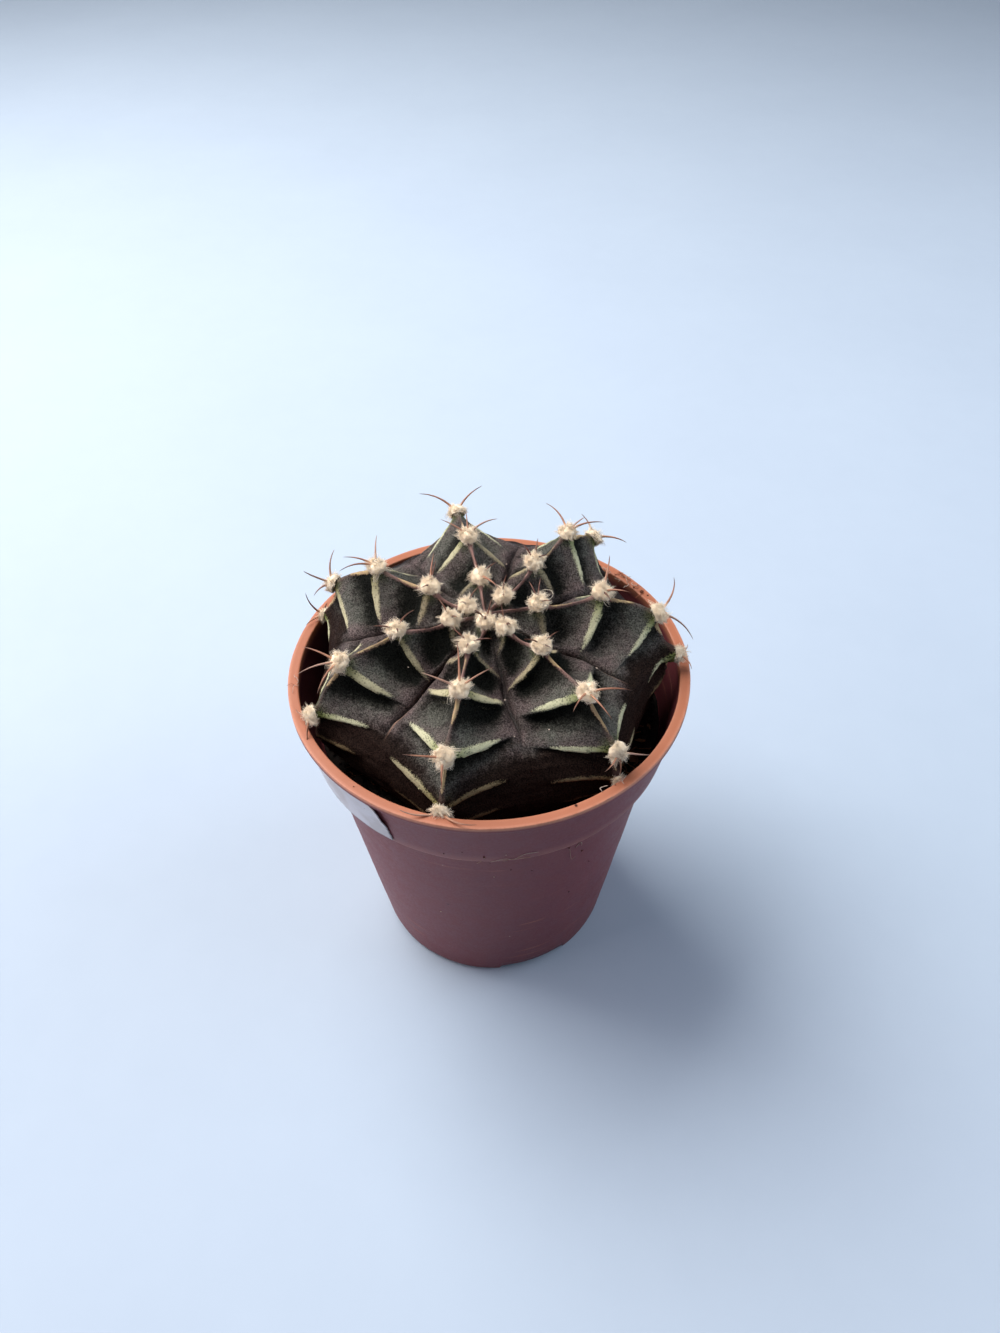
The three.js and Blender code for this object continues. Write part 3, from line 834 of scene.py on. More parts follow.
# moves the points out along the skin's normals, and adds lumps, and level wrinkles low on the plant
def liftSkin(points, lift, at):
    normals = np.cross(np.gradient(points, axis=0), np.roll(points, -1, axis=1) - np.roll(points, 1, axis=1))
    normals /= np.maximum(np.linalg.norm(normals, axis=2, keepdims=True), 1e-9)
    if normals[len(points) // 8, 0, 2] < 0:
        normals = -normals
    flat = points.reshape(-1, 3)
    lumps = np.array([noise.noise(Vector(p) * 0.33) + 0.5 * noise.noise(Vector(p) * 0.9) for p in flat])
    wrinkles = np.array([noise.noise(Vector((x * 0.25, y * 0.25, z * 1.6))) for x, y, z in flat])
    rowAt = np.broadcast_to(at[:, None], lift.shape)
    lift = lift + plant["unevenness"] * lumps.reshape(lift.shape) * smoothstep(rowAt, 1, 5)
    wrinkles = plant["wrinkles"] * wrinkles.reshape(lift.shape)
    lift = lift + wrinkles * smoothstep(rowAt, *plant["lowSkin"]) * fade(rowAt, 38, 44)
    return points + normals * lift[..., None]


def buildBody():
    perRib, rows = plant["columnsPerRib"], plant["rows"]
    raw = np.linspace(-1, 1, perRib + 1)
    across = raw - plant["columnCrowding"] * np.sin(2 * np.pi * raw) / (2 * np.pi)
    at = np.interp(np.linspace(0, 1, rows), [0, 0.9, 1], [0.02, plant["skinEnd"], profileLength - 0.02])
    acrossGrid, atGrid = np.meshgrid(across, at)
    points, lift, values = [], [], {}
    own = slice(0, perRib)           # the last column is the next rib's first
    for ribNumber in range(len(ribs)):
        spot = skin(ribNumber, acrossGrid, atGrid)
        fields, nose, over = ribFields(ribNumber, acrossGrid, atGrid, spot)
        points.append(spot[:, own])
        lift.append(ribLift(atGrid, fields, nose, over)[:, own])
        for key, numbers in fields.items():
            values.setdefault(key, []).append(numbers[:, own])
    points = liftSkin(np.concatenate(points, axis=1), np.concatenate(lift, axis=1), at)
    columns = points.shape[1]
    faces = gridFaces(rows, columns)
    points = points.reshape(-1, 3).tolist()
    values = {key: np.concatenate(numbers, axis=1).reshape(-1).tolist() for key, numbers in values.items()}
    # close the crown and the root tip
    for row, outwards in ((0, True), (rows - 1, False)):
        ring = [row * columns + j for j in range(columns)]
        points.append(np.mean([points[i] for i in ring], axis=0).tolist())
        for numbers in values.values():
            numbers.append(numbers[ring[0]])
        centre = len(points) - 1
        for a, b in zip(ring, ring[1:] + ring[:1]):
            faces.append((centre, b, a) if outwards else (centre, a, b))
    stem = makeMesh("cactusBody", points, faces, [makeSkinMaterial()], values)
    return settle(stem, "plant_skin", "cactus_body")


body = buildBody()
print("body:", len(body.data.polygons), "faces")


# Wool pads and spines

wool = {
    "hairs": 1120,
    "feltShare": 0.44,         # hairs that lie curled on the pad instead of standing in locks
    "feltLength": (0.4, 0.9),
    "locks": 44,
    "lockLength": (0.45, 1.05),
    "longShare": 0.18,
    "longer": 1.4,
    "lockSpread": 0.2,
    "lockRoot": 0.85,          # how deep in the pad the locks start, as a share of its radius
    "droop": (0.35, 0.25),     # how far long locks hang down the rib, and straight down
    "hairRadius": 0.017,
    "wispRadius": 0.022,
    "oval": 1.1,               # pads are a little longer down the rib
    "coreRadius": 1.2,
    "coreHeight": 0.92,
    "seed": 23,
}

spine = {
    "radius": 0.185,
    "tipRadius": 0.018,
    "steps": 14,
    "sides": 8,
    "rise": 22,        # degrees steeper at the base than the listed lift, and as much flatter at the tip
    "sideCurl": 12,
    "youngLength": 3,  # shorter ones near the crown are young and dark
    "youngReach": 16,
}


def makeWoolMaterial():
    look = {"light": colour(255, 244, 222), "shade": colour(255, 230, 200), "core": colour(255, 238, 210),
            "bump": (0.4, 0.06)}
    material, tree, shader = startMaterial("creamWool", 0.9, Specular_IOR_Level=0.2, Sheen_Weight=1.0,
                                           Sheen_Roughness=0.5, Sheen_Tint=(1.0, 0.84, 0.68, 1.0))
    uneven = useGroup(tree, grain, Size=0.7, Fine=0.15, Balance=0.5)
    mask = times(tree, plus(tree, readValue(tree, "shade"), uneven["Height"]), 0.62, clamp=True)
    fleece = mixColour(tree, mask, look["shade"], look["light"])
    inside = ramp(tree, readValue(tree, "along"), -0.2, -0.8)
    fleece = mixColour(tree, inside, fleece, look["core"])
    finishMaterial(tree, shader, look, fleece, uneven["Height"])
    return material


def makeSpineMaterial():
    look = {"base": colour(198, 150, 118), "middle": colour(152, 102, 80), "tip": colour(64, 38, 32),
            "young": colour(78, 34, 26), "grey": colour(186, 158, 144),
            "bump": (0.4, 0.05), "roughness": (0.32, 0.55)}
    material, tree, shader = startMaterial("spineHorn", 0.4, Specular_IOR_Level=0.35)
    along, shade = readValue(tree, "along"), readValue(tree, "shade")
    horn = mixColour(tree, ramp(tree, along, 0.05, 0.4), look["base"], look["middle"])
    horn = mixColour(tree, ramp(tree, along, 0.55, 1.0), horn, look["tip"])
    horn = mixColour(tree, ramp(tree, shade, 0.5, 0.9), horn, look["young"])
    horn = mixColour(tree, ramp(tree, shade, 0.25, 0.0, 0.0, 0.5), horn, look["grey"])
    uneven = useGroup(tree, grain, Size=0.7, Fine=0.15, Balance=0.5)
    horn = mixColour(tree, times(tree, uneven["Mask"], 0.25), horn, look["base"])
    finishMaterial(tree, shader, look, horn, uneven["Height"], grainRoughness(tree, uneven["Height"], look))
    return material


# A direction in the skin, turned from straight down the rib. Down, side and out below are an areole's
# own three directions.
def inTheSkin(turn, down, side, oval=1.0):
    return down * (oval * math.cos(turn)) + side * math.sin(turn)


def jitter(rng, amount):
    return Vector([rng.gauss(0, amount) for _ in range(3)])


# A lumpy low dome, a little longer down the rib
def woolCore(centre, down, side, out, size, rng):
    columns, rows = 28, 12
    points, shades = [], []
    for i in range(rows):
        polar = math.radians(112) * i / (rows - 1)
        for j in range(columns if i else 1):
            turn = 2 * math.pi * j / columns
            flat = math.sin(polar) * wool["coreRadius"] * size
            spot = centre + down * (wool["oval"] * flat * math.cos(turn)) + side * (flat * math.sin(turn))
            spot = spot + out * (math.cos(polar) * wool["coreHeight"] * size)
            wobble = (noise.noise(spot * 1.4) * 0.3 + noise.noise(spot * 4.3) * 0.08) * size
            points.append(list(spot + (spot - centre).normalized() * wobble))
            shades.append(rng.uniform(0.4, 0.9))
    faces = [(0, 1 + j, 1 + (j + 1) % columns) for j in range(columns)]
    faces += [tuple(i + 1 for i in face) for face in gridFaces(rows - 1, columns)]
    faces.append(tuple(1 + (rows - 2) * columns + j for j in reversed(range(columns))))
    return points, faces, {"shade": shades, "along": [-1.0] * len(points)}      # along tells it from hairs


# a short hair that lies curled on the pad
def feltHair(centre, down, side, out, size, rng):
    turn, polar = rng.uniform(0, 2 * math.pi), math.acos(rng.uniform(-0.25, 1))
    flat = inTheSkin(turn, down, side, wool["oval"])
    spot = centre + (flat * (math.sin(polar) * wool["coreRadius"])
                     + out * (math.cos(polar) * wool["coreHeight"])) * (size * rng.uniform(0.93, 1.03))
    away = (spot - centre).normalized()
    heading = jitter(rng, 1).cross(away).normalized() + away * 0.35
    curl = Matrix.Rotation(rng.gauss(0, 0.5), 3, away)
    length = rng.uniform(*wool["feltLength"])
    points = [list(spot)]
    for _ in range(3):
        heading = (curl @ heading - away * 0.22).normalized()
        spot = spot + heading * (length / 3)
        points.append(list(spot))
    return points, rng.uniform(0.45, 1)


# One lock: its turn and tilt on the pad, the place where its hairs meet and its shade
def woolLock(centre, down, side, out, size, rng):
    turn = rng.uniform(0, 2 * math.pi)
    polar = math.acos(rng.uniform(-0.15, 1))
    length = rng.uniform(*wool["lockLength"]) * (0.6 + 0.4 * size)
    direction = inTheSkin(turn, down, side) * math.sin(polar) + out * math.cos(polar)
    if rng.random() < wool["longShare"]:
        alongRib, straightDown = wool["droop"]
        length *= wool["longer"]
        direction += down * alongRib - Vector((0, 0, straightDown))
    direction = (direction + jitter(rng, 0.25)).normalized()
    tip = centre + direction * (wool["coreRadius"] * size * wool["lockRoot"] + length)
    return turn, polar, tip, rng.uniform(0.5, 1)


# one hair of a lock, from its patch of the pad to near the lock's tip
def lockHair(lock, centre, down, side, out, size, rng):
    turn, polar, tip, shade = lock
    radius = wool["coreRadius"] * size * wool["lockRoot"]
    turn += rng.gauss(0, wool["lockSpread"]) / max(math.sin(polar), 0.3)
    polar += rng.gauss(0, wool["lockSpread"])
    root = centre + inTheSkin(turn, down, side, wool["oval"]) * (math.sin(polar) * radius)
    root = root + out * (math.cos(polar) * wool["coreHeight"] * size * wool["lockRoot"])
    end = root + (tip + jitter(rng, 0.1) - root) * rng.uniform(0.6, 1.05)
    bend = jitter(rng, 0.12) * (end - root).length
    points = []
    for k in range(4):
        share = k / 3
        points.append(list(root + (end - root) * share + bend * (4 * share * (1 - share))))
    return points, shade


def woolHairs(centre, down, side, out, size, rng):
    strands = []
    count = int(wool["hairs"] * size)
    for _ in range(int(count * wool["feltShare"])):
        points, shade = feltHair(centre, down, side, out, size, rng)
        thick = wool["hairRadius"] * rng.uniform(0.8, 1.4)
        strands.append((points, [thick, thick, thick * 0.8, 0], shade))
    locks = [woolLock(centre, down, side, out, size, rng) for _ in range(wool["locks"])]
    for _ in range(count - len(strands)):
        points, shade = lockHair(rng.choice(locks), centre, down, side, out, size, rng)
        thick = wool["hairRadius"] * rng.uniform(0.7, 1.3)
        strands.append((points, [thick, thick, thick * 0.7, 0], shade * rng.uniform(0.8, 1)))
    return strandMesh(strands, 3)


# a long curly hair of loose wool
def wispStrand(centre, down, side, out, bearing, length, rng):
    steps = 16
    heading = inTheSkin(math.radians(bearing), down, side) + out * 0.5
    points = [centre + out * 0.4]
    curl = rng.uniform(0.25, 0.45) * rng.choice([-1, 1])
    for k in range(steps):
        heading = Matrix.Rotation(curl + rng.gauss(0, 0.1), 3, out) @ heading
        heading = (heading - out * 0.06).normalized()
        points.append(points[-1] + heading * (length / steps) + out * (0.05 if k > steps / 2 else 0.0))
        if k > steps / 4:
            curl *= 0.93
    return [list(p) for p in points], [wool["wispRadius"]] * steps + [0.0], 0.9


def spineStrand(centre, down, side, out, size, bearing, lift, length, age, rng):
    flat = inTheSkin(math.radians(bearing), down, side)
    sideways = out.cross(flat)
    curl = math.radians(rng.uniform(-1, 1) * spine["sideCurl"])
    steps = spine["steps"]
    reach = length + 0.2 + 0.5 * float(fade(length, 2.4, 3.4))      # short ones start deep in the wool
    points = [centre + out * (0.3 * size) + flat * (0.2 * size)]
    for i in range(steps):
        share = i / (steps - 1)
        angle = math.radians(lift + spine["rise"] * (1 - 2 * share))
        heading = flat * math.cos(angle) + out * math.sin(angle)
        heading = heading + sideways * math.sin(curl * (share - 0.3) * 2)
        points.append(points[-1] + heading.normalized() * (reach / steps))
    scale = min(1.0, 0.68 + 0.07 * length) * rng.uniform(0.9, 1.1)
    radii = []
    for i in range(steps + 1):
        taper = (1 - i / steps) ** 0.8
        radii.append(scale * (spine["tipRadius"] + (spine["radius"] - spine["tipRadius"]) * taper))
    return [list(p) for p in points], radii, age


woolMaterial = makeWoolMaterial()
spineMaterial = makeSpineMaterial()


def buildAreole(ribNumber, index):
    areole = ribs[ribNumber]["areoles"][index]
    rng = random.Random(wool["seed"] * 100 + ribNumber * 10 + index)
    foot, down, side, out = areoleFrame(ribNumber, areole["at"])
    size = areole["size"]
    centre = foot + out * (areole.get("nose", plant["noseHeight"]) + 0.05)
    name = f"{ribNumber + 1}_{index + 1}"
    parts = [woolCore(centre, down, side, out, size, rng), woolHairs(centre, down, side, out, size, rng)]
    wisps = []
    for bearing, length in areole.get("wisps", []):
        wisps.append(wispStrand(centre, down, side, out, bearing, length, rng))
    if wisps:
        parts.append(strandMesh(wisps, 4))
    points, faces, values = joinParts(parts)
    pad = makeMesh(f"wool_{name}", points, faces, [woolMaterial], values)
    settle(pad, "wool_and_spines", f"areole_{name}")
    strands = []
    for bearing, lift, length in areole["spines"]:
        young = length < spine["youngLength"] and areole["at"] < spine["youngReach"]
        age = rng.uniform(0.85, 1.0) if young else rng.uniform(0.0, 0.6)
        strands.append(spineStrand(centre, down, side, out, size, bearing, lift, length, age, rng))
    points, faces, values = strandMesh(strands, spine["sides"])
    thorns = makeMesh(f"spines_{name}", points, faces, [spineMaterial], values)
    settle(thorns, "wool_and_spines", f"areole_{name}")


for ribNumber, rib in enumerate(ribs):
    for index in range(len(rib["areoles"])):
        buildAreole(ribNumber, index)
print("wool pads and spines ready")


# pot

pot = {
    "height": 52.0, "rimRadius": 27.5, "mouthRadius": 26.05, "baseRadius": 18.57, "collarHeight": 10.4,
    "collarFootRadius": 25.3, "shoulderRadius": 23.95, "wall": 0.9, "floor": 1.9, "lipOverhang": 0.55,
    "lipDepth": 1.3, "footWidth": 4.1, "recess": 0.35, "segments": 288, "outOfRound": 0.09, "dents": 0.03,
    "drainAzimuths": [290, 50, 170], "drainWidth": 11.0, "drainHeight": 1.9, "drainDepth": 3.6,
    "drainMuckAndShade": 190, "slotLumpSize": (0.25, 0.45), "slotLumpBack": 2.0,      # the mix packed into each slot, its dark lumps also painted shade inside the slot
}
pot["shoulder"] = pot["height"] - pot["collarHeight"]


# corners: (radius, height, rounding). Each corner becomes a short arc.
def roundedProfile(corners):
    result, radiusSteps = [], 4
    for i, (r, z, rounding) in enumerate(corners):
        here = Vector((r, z))
        if rounding == 0 or i in (0, len(corners) - 1):
            result.append((r, z))
            continue
        before = Vector(corners[i - 1][:2]) - here
        after = Vector(corners[i + 1][:2]) - here
        reach = min(rounding, before.length * 0.48, after.length * 0.48)
        start, end = here + before.normalized() * reach, here + after.normalized() * reach
        for k in range(radiusSteps + 1):
            t = k / radiusSteps
            point = start * (1 - t) ** 2 + here * (2 * t * (1 - t)) + end * t ** 2
            result.append((point.x, point.y))
    return result


def subdivideProfile(profile, longest):
    result = [profile[0]]
    for (r0, z0), (r1, z1) in zip(profile, profile[1:]):
        pieces = max(1, math.ceil(math.hypot(r1 - r0, z1 - z0) / longest))
        for k in range(1, pieces + 1):
            result.append((r0 + (r1 - r0) * k / pieces, z0 + (z1 - z0) * k / pieces))
    return result


def makePotMaterial():
    # clay is the plastic darkened and tinted mauve as painted shade on the wall, lip the same plastic
    # lightened as painted light on the top
    look = {"clay": colour(112, 54, 60), "deep": colour(92, 45, 54), "litLip": colour(170, 104, 76),
            "pale": colour(206, 146, 122), "speck": colour(34, 24, 24), "dust": colour(206, 190, 180),
            "bump": (0.25, 0.08), "roughness": (0.42, 0.56), "scuffShare": 0.35, "wearAndHighlight": (0.3, 0.8)}
    material, tree, shader = startMaterial("potPlastic", 0.5, Specular_IOR_Level=0.28)
    place = objectPlace(tree)
    base = useGroup(tree, drift, Main=look["clay"], Other=look["deep"], Size=34.0, Amount=0.2)
    fine = useGroup(tree, grain, Size=2.2, Fine=0.35, Balance=0.5)
    # painted light: the top of the lip lighter than the wall
    clay = mixColour(tree, readValue(tree, "litLip"), base["Color"], look["litLip"])
    clay = mixColour(tree, times(tree, fine["Mask"], 0.03), clay, look["pale"])
    # scuffs: thin, mostly level streaks
    stretched = addNode(tree, "Mapping", {"Vector": place, "Scale": (60.0, 60.0, 900.0)}).outputs[0]
    streaks = addNode(tree, "TexNoise", {"Vector": stretched, "Scale": 1.6, "Detail": 5.0}).outputs["Fac"]
    patches = addNode(tree, "TexNoise", {"Vector": place, "Scale": 55.0, "Detail": 2.0}).outputs["Fac"]
    scuffs = times(tree, ramp(tree, streaks, 0.6, 0.74), ramp(tree, patches, 0.5, 0.62))
    clay = mixColour(tree, times(tree, scuffs, look["scuffShare"]), clay, look["pale"])
    darkSpecks = useGroup(tree, specks, Spacing=3.4, Radius=0.2, Share=0.2)
    clay = mixColour(tree, times(tree, darkSpecks["Mask"], 0.8), clay, look["speck"])
    paleSpecks = useGroup(tree, specks, Spacing=2.3, Radius=0.11, Share=0.18)
    clay = mixColour(tree, times(tree, paleSpecks["Mask"], 0.7), clay, look["dust"])
    # paler edges on the lip and the shoulder step: partly wear, partly a painted highlight along the lip's
    # edges
    wearAndHighlight = times(tree, readValue(tree, "edgeWearAndHighlight"), ramp(tree, fine["Height"], 0.3, 0.6, *look["wearAndHighlight"]))
    clay = mixColour(tree, wearAndHighlight, clay, look["pale"])
    rough = plus(tree, grainRoughness(tree, fine["Height"], look), times(tree, scuffs, 0.2))
    height = calc(tree, "SUBTRACT", fine["Height"], times(tree, scuffs, 0.4))
    finishMaterial(tree, shader, look, clay, height, rough)
    return material


# from the middle of the underside, out and up the wall, over the lip and down to the middle of the floor
def potCorners():
    p = pot
    base, rim, mouth, wall, top = p["baseRadius"], p["rimRadius"], p["mouthRadius"], p["wall"], p["height"]
    shoulder, collarTop, lipFoot = p["shoulder"], rim - p["lipOverhang"], top - p["lipDepth"]
    foot = base - p["footWidth"]
    return [
        (0, p["recess"], 0), (foot - 0.4, p["recess"], 0.4), (foot, 0, 0.3), (base - 0.15, 0, 1.1),
        (p["shoulderRadius"], shoulder - 0.45, 0.25), (p["collarFootRadius"], shoulder, 0.4),
        (collarTop, lipFoot, 0.25), (rim, lipFoot + 0.3, 0.3), (rim, top - 0.55, 0), (rim, top - 0.38, 0),
        (rim, top, 0.2), (rim - 0.5, top, 0), (mouth + 0.5, top, 0), (mouth, top, 0.3),
        (collarTop - wall, top - 2.2, 0.6), (p["collarFootRadius"] - wall, shoulder + 0.3, 0.4),
        (p["shoulderRadius"] - wall, shoulder - 0.5, 0.4), (base - wall, p["floor"], 1.0), (0, p["floor"], 0),
    ]


def buildPot():
    p = pot
    profile = subdivideProfile(roundedProfile(potCorners()), 2.0)
    segments = p["segments"]
    points, wearAndHighlight, litLip = [], [], []
    inner = profile[1:-1]
    for r, z in inner:
        # how pale the edges of the lip and the shoulder step are, partly wear and partly painted highlight
        lipEdge = float(hill(r - p["rimRadius"], 0.2) + 0.4 * hill(r - p["mouthRadius"], 0.2))
        edge = max(0, 1 - abs(z - p["height"]) / 0.7) * lipEdge
        edge = edge + max(0, 1 - abs(z - p["shoulder"]) / 0.5) * (r > 24.5)
        for j in range(segments):
            turn = 2 * math.pi * j / segments
            wobble = p["outOfRound"] * math.sin(2 * turn + 0.7) * (r / 27) * (z / 52)
            wobble += 0.05 * noise.noise(Vector(polarPoint(3, turn, z * 0.12)))
            dent = p["dents"] * noise.noise(Vector(polarPoint(14, turn, z * 0.8))) * edge
            points.append(polarPoint(r + wobble + dent, turn, z - abs(dent) * 0.6))
            wearAndHighlight.append(min(edge, 1))
            # the top of the lip, painted lighter as painted light
            litLip.append(float(smoothstep(z, p["height"] - 0.54, p["height"] - 0.39)))
    faces = gridFaces(len(inner), segments)
    last = (len(inner) - 1) * segments
    points.extend([(0, 0, profile[0][1]), (0, 0, profile[-1][1])])
    wearAndHighlight.extend([0, 0])
    litLip.extend([0, 0])
    under, over = len(points) - 2, len(points) - 1
    for j in range(segments):
        k = (j + 1) % segments
        faces.append((j, k, under))
        faces.append((last + k, last + j, over))
    shell = makeMesh("potShell", points, faces, [makePotMaterial()], {"edgeWearAndHighlight": wearAndHighlight, "litLip": litLip})
    for azimuth in p["drainAzimuths"]:
        cutDrain(shell, azimuth)
    return settle(shell, "pot_plastic", "pot")


# cuts one drain slot through the bottom corner with a rounded block
def cutDrain(shell, azimuth):
    p = pot
    half = p["drainWidth"] / 2
    outline = []
    for k in range(33):
        turn = math.pi * k / 32
        outline.append((half * math.copysign(abs(math.cos(turn)) ** 0.25, math.cos(turn)),
                        p["drainHeight"] * abs(math.sin(turn)) ** 0.5))
    outline = [(half, -1.0)] + outline + [(-half, -1.0)]
    points = [(p["baseRadius"] - p["drainDepth"], y, z) for y, z in outline]
    points += [(p["baseRadius"] + 3, y, z) for y, z in outline]
    count = len(outline)
    faces = [tuple(range(count)), tuple(reversed(range(count, 2 * count)))]
    for i in range(count):
        k = (i + 1) % count
        faces.append((i, i + count, k + count, k))
    cutter = makeMesh("cutter", points, flipped(faces), [])
    cutter.data.transform(Matrix.Rotation(math.radians(azimuth), 4, "Z"))
    cut = shell.modifiers.new("drain", "BOOLEAN")
    cut.operation = "DIFFERENCE"
    cut.solver = "EXACT"
    cut.object = cutter
    bpy.context.view_layer.update()
    done = bpy.data.meshes.new_from_object(shell.evaluated_get(bpy.context.evaluated_depsgraph_get()))
    shell.modifiers.clear()
    shell.data = done
    bpy.data.objects.remove(cutter)


potShell = buildPot()
print("pot:", len(potShell.data.polygons), "faces")


# paper label on the collar

label = {
    # start and end in degrees, top and bottom from the pot's top edge down
    "start": 198.0, "end": 238.0, "top": -1.65, "bottom": -9.6, "paper": 0.11, "gap": 0.1,
    # share of the height, degrees that the torn end reaches past the listed one
    "tear": [(0, 2.4), (0.25, 2.25), (0.5, 2.05), (0.62, 1.9), (0.7, 1.3), (0.85, 0.9), (1, 0.2)],
    "fray": 0.35, "curl": 0.28, "cockle": 0.05, "columns": 90, "rows": 24, "seed": 3,
}


def makeLabelMaterial():
    look = {"paper": colour(200, 200, 206), "grubby": colour(166, 158, 152), "stain": colour(104, 78, 64),
            "bump": (0.35, 0.06), "roughness": (0.62, 0.85)}
    material, tree, shader = startMaterial("labelPaper", 0.75, Specular_IOR_Level=0.3)
    base = useGroup(tree, drift, Main=look["paper"], Other=look["grubby"], Size=5.0, Amount=0.4)
    fibre = useGroup(tree, grain, Size=1.2, Fine=0.18, Balance=0.6)
    edge = plus(tree, readValue(tree, "edge"), times(tree, fibre["Height"], 0.5))
    paper = mixColour(tree, times(tree, ramp(tree, edge, 0.7, 0.15), 0.45), base["Color"], look["stain"])
    dirt = useGroup(tree, specks, Spacing=1.6, Radius=0.12, Share=0.12)
    paper = mixColour(tree, times(tree, dirt["Mask"], 0.6), paper, look["stain"])
    finishMaterial(tree, shader, look, paper, fibre["Height"], grainRoughness(tree, fibre["Height"], look))
    return material


# radius of the collar's outside, height from the top of the pot down
def collarRadius(height):
    p = pot
    fall = (-height - p["lipDepth"]) / (p["collarHeight"] - p["lipDepth"])
    return (p["rimRadius"] - p["lipOverhang"]) * (1 - fall) + p["collarFootRadius"] * fall


def buildLabel():
    rng = random.Random(label["seed"])
    columns, rows = label["columns"], label["rows"]
    tall = label["top"] - label["bottom"]
    arc = (label["end"] - label["start"]) * math.pi / 180 * 27
    frays = [rng.uniform(-label["fray"], label["fray"]) for _ in range(rows)]
    under, over, edges = [], [], []
    for i in range(rows):
        up = i / (rows - 1)
        height = label["bottom"] + tall * up
        end = label["end"] + np.interp(up, *zip(*label["tear"])) + frays[i] * 0.6
        for j in range(columns):
            along = j / (columns - 1)
            azimuth = math.radians(label["start"] + (end - label["start"]) * along)
            lift = label["gap"] + label["cockle"] * noise.noise(Vector((azimuth * 9, height * 0.5, 0)))
            lift += label["curl"] * smoothstep(along, 0.93, 1.0) * smoothstep(up, 0.25, 0.7)
            radius = collarRadius(height) + lift
            under.append(polarPoint(radius, azimuth, pot["height"] + height))
            over.append(polarPoint(radius + label["paper"], azimuth, pot["height"] + height))
            edge = min(up, 1 - up) * tall
            edges.append(edge if along < 0.5 else min(edge, (1 - along) * arc))
    count = rows * columns
    sheet = gridFaces(rows, columns, wrap=False)
    faces = flipped(sheet) + [tuple(i + count for i in f) for f in sheet]
    border = [j for j in range(columns)] + [i * columns + columns - 1 for i in range(1, rows)]
    border += [(rows - 1) * columns + j for j in range(columns - 2, -1, -1)]
    border += [i * columns for i in range(rows - 2, 0, -1)]
    for a, b in zip(border, border[1:] + border[:1]):
        faces.append((a, b, b + count, a + count))
    sticker = makeMesh("labelSticker", under + over, faces, [makeLabelMaterial()], {"edge": edges + edges})
    return settle(sticker, "label_paper", "label")


buildLabel()
print("label ready")


# soil

soil = {
    "top": -9.0, "gap": 0.25, "columns": 150, "rings": 26, "lumps": 0.55, "seatRadius": 19.0,
    "seatGap": (0.7, 0.6),     # room round and under the plant
    "crumbs": 1500, "crumbSize": (0.25, 1.05), "fibres": 150, "fibreLength": (1.5, 4.5),
    "fibreRadius": (0.05, 0.14), "flakes": 12, "frontFlakes": 5, "frontArc": (325, 358), "seed": 41,
    "crumbsFrom": 18.8, "fibresFrom": 20.0, "flakesFrom": 21.3,      # how far out each begins to lie
}
soilEdge = pot["collarFootRadius"] - pot["wall"] - soil["gap"]


def makeSoilMaterial():
    look = {"dark": colour(14, 10, 8), "brown": colour(36, 24, 18), "pale": colour(78, 54, 38),
            "bump": (0.8, 0.25), "roughness": (0.75, 0.95)}
    material, tree, shader = startMaterial("pottingMix", 0.9, Specular_IOR_Level=0.25)
    base = useGroup(tree, drift, Main=look["dark"], Other=look["brown"], Size=2.0, Amount=0.8)
    rough = useGroup(tree, grain, Size=0.9, Fine=0.2, Balance=0.5)
    mix = mixColour(tree, ramp(tree, readValue(tree, "shade"), 0.85, 1.0), base["Color"], look["pale"])
    mix = mixColour(tree, times(tree, rough["Mask"], 0.35), mix, look["dark"])
    finishMaterial(tree, shader, look, mix, rough["Height"], grainRoughness(tree, rough["Height"], look))
    return material


def makeFlakeMaterial():
    look = {"tan": colour(118, 82, 52), "brown": colour(52, 32, 22), "bump": (0.5, 0.1),
            "roughness": (0.65, 0.9)}
    material, tree, shader = startMaterial("barkFlakes", 0.8, Specular_IOR_Level=0.3)
    uneven = useGroup(tree, grain, Size=0.8, Fine=0.15, Balance=0.5)
    share = times(tree, readValue(tree, "shade"), uneven["Height"])
    bark = mixColour(tree, share, look["tan"], look["brown"])
    finishMaterial(tree, shader, look, bark, uneven["Height"], grainRoughness(tree, uneven["Height"], look))
    return material


soilMaterial = makeSoilMaterial()
flakeMaterial = makeFlakeMaterial()


def soilHeight(x, y):
    spot = Vector((x, y, 0))
    lumps = noise.noise(spot * 0.45) + 0.6 * noise.noise(spot * 1.1) + 0.3 * noise.noise(spot * 2.7)
    return pot["height"] + soil["top"] + soil["lumps"] * lumps - 0.15


def onSoil(radius, turn, lift=0.0):
    x, y, _ = polarPoint(radius, turn, 0)
    return x, y, soilHeight(x, y) + lift


def buildBed():
    p = pot
    columns, rings = soil["columns"], soil["rings"]
    # the buried side, from the floor up to the top edge
    low, high = p["baseRadius"] - p["wall"], p["shoulderRadius"] - p["wall"]
    side = [(low - 1.6, p["floor"] + 0.3), (low - 0.6, p["floor"] + 1.3),
            (high - 0.4, p["shoulder"] - 0.9), (soilEdge - 0.2, p["shoulder"] + 0.6)]
    points = []
    for r, z in side:
        points += levelRing(r, z, columns)
    # the loose top, then down into the seat under the plant
    for i in range(rings):
        r = soilEdge - (soilEdge - soil["seatRadius"]) * (i / (rings - 1))
        points += [onSoil(r, 2 * math.pi * j / columns) for j in range(columns)]
    beside, under = soil["seatGap"]
    seat = plant["crest"][12:-1]
    for r, z in seat:
        points += levelRing(r + beside, p["height"] + z - under, columns)
    rows = len(side) + rings + len(seat)
    faces = gridFaces(rows, columns)
    faces.append(tuple(reversed(range(columns))))
    faces.append(tuple((rows - 1) * columns + j for j in range(columns)))
    bed = makeMesh("soilBed", points, faces, [soilMaterial], {"shade": [0.2] * len(points)})
    settle(bed, "potting_mix", "soil")


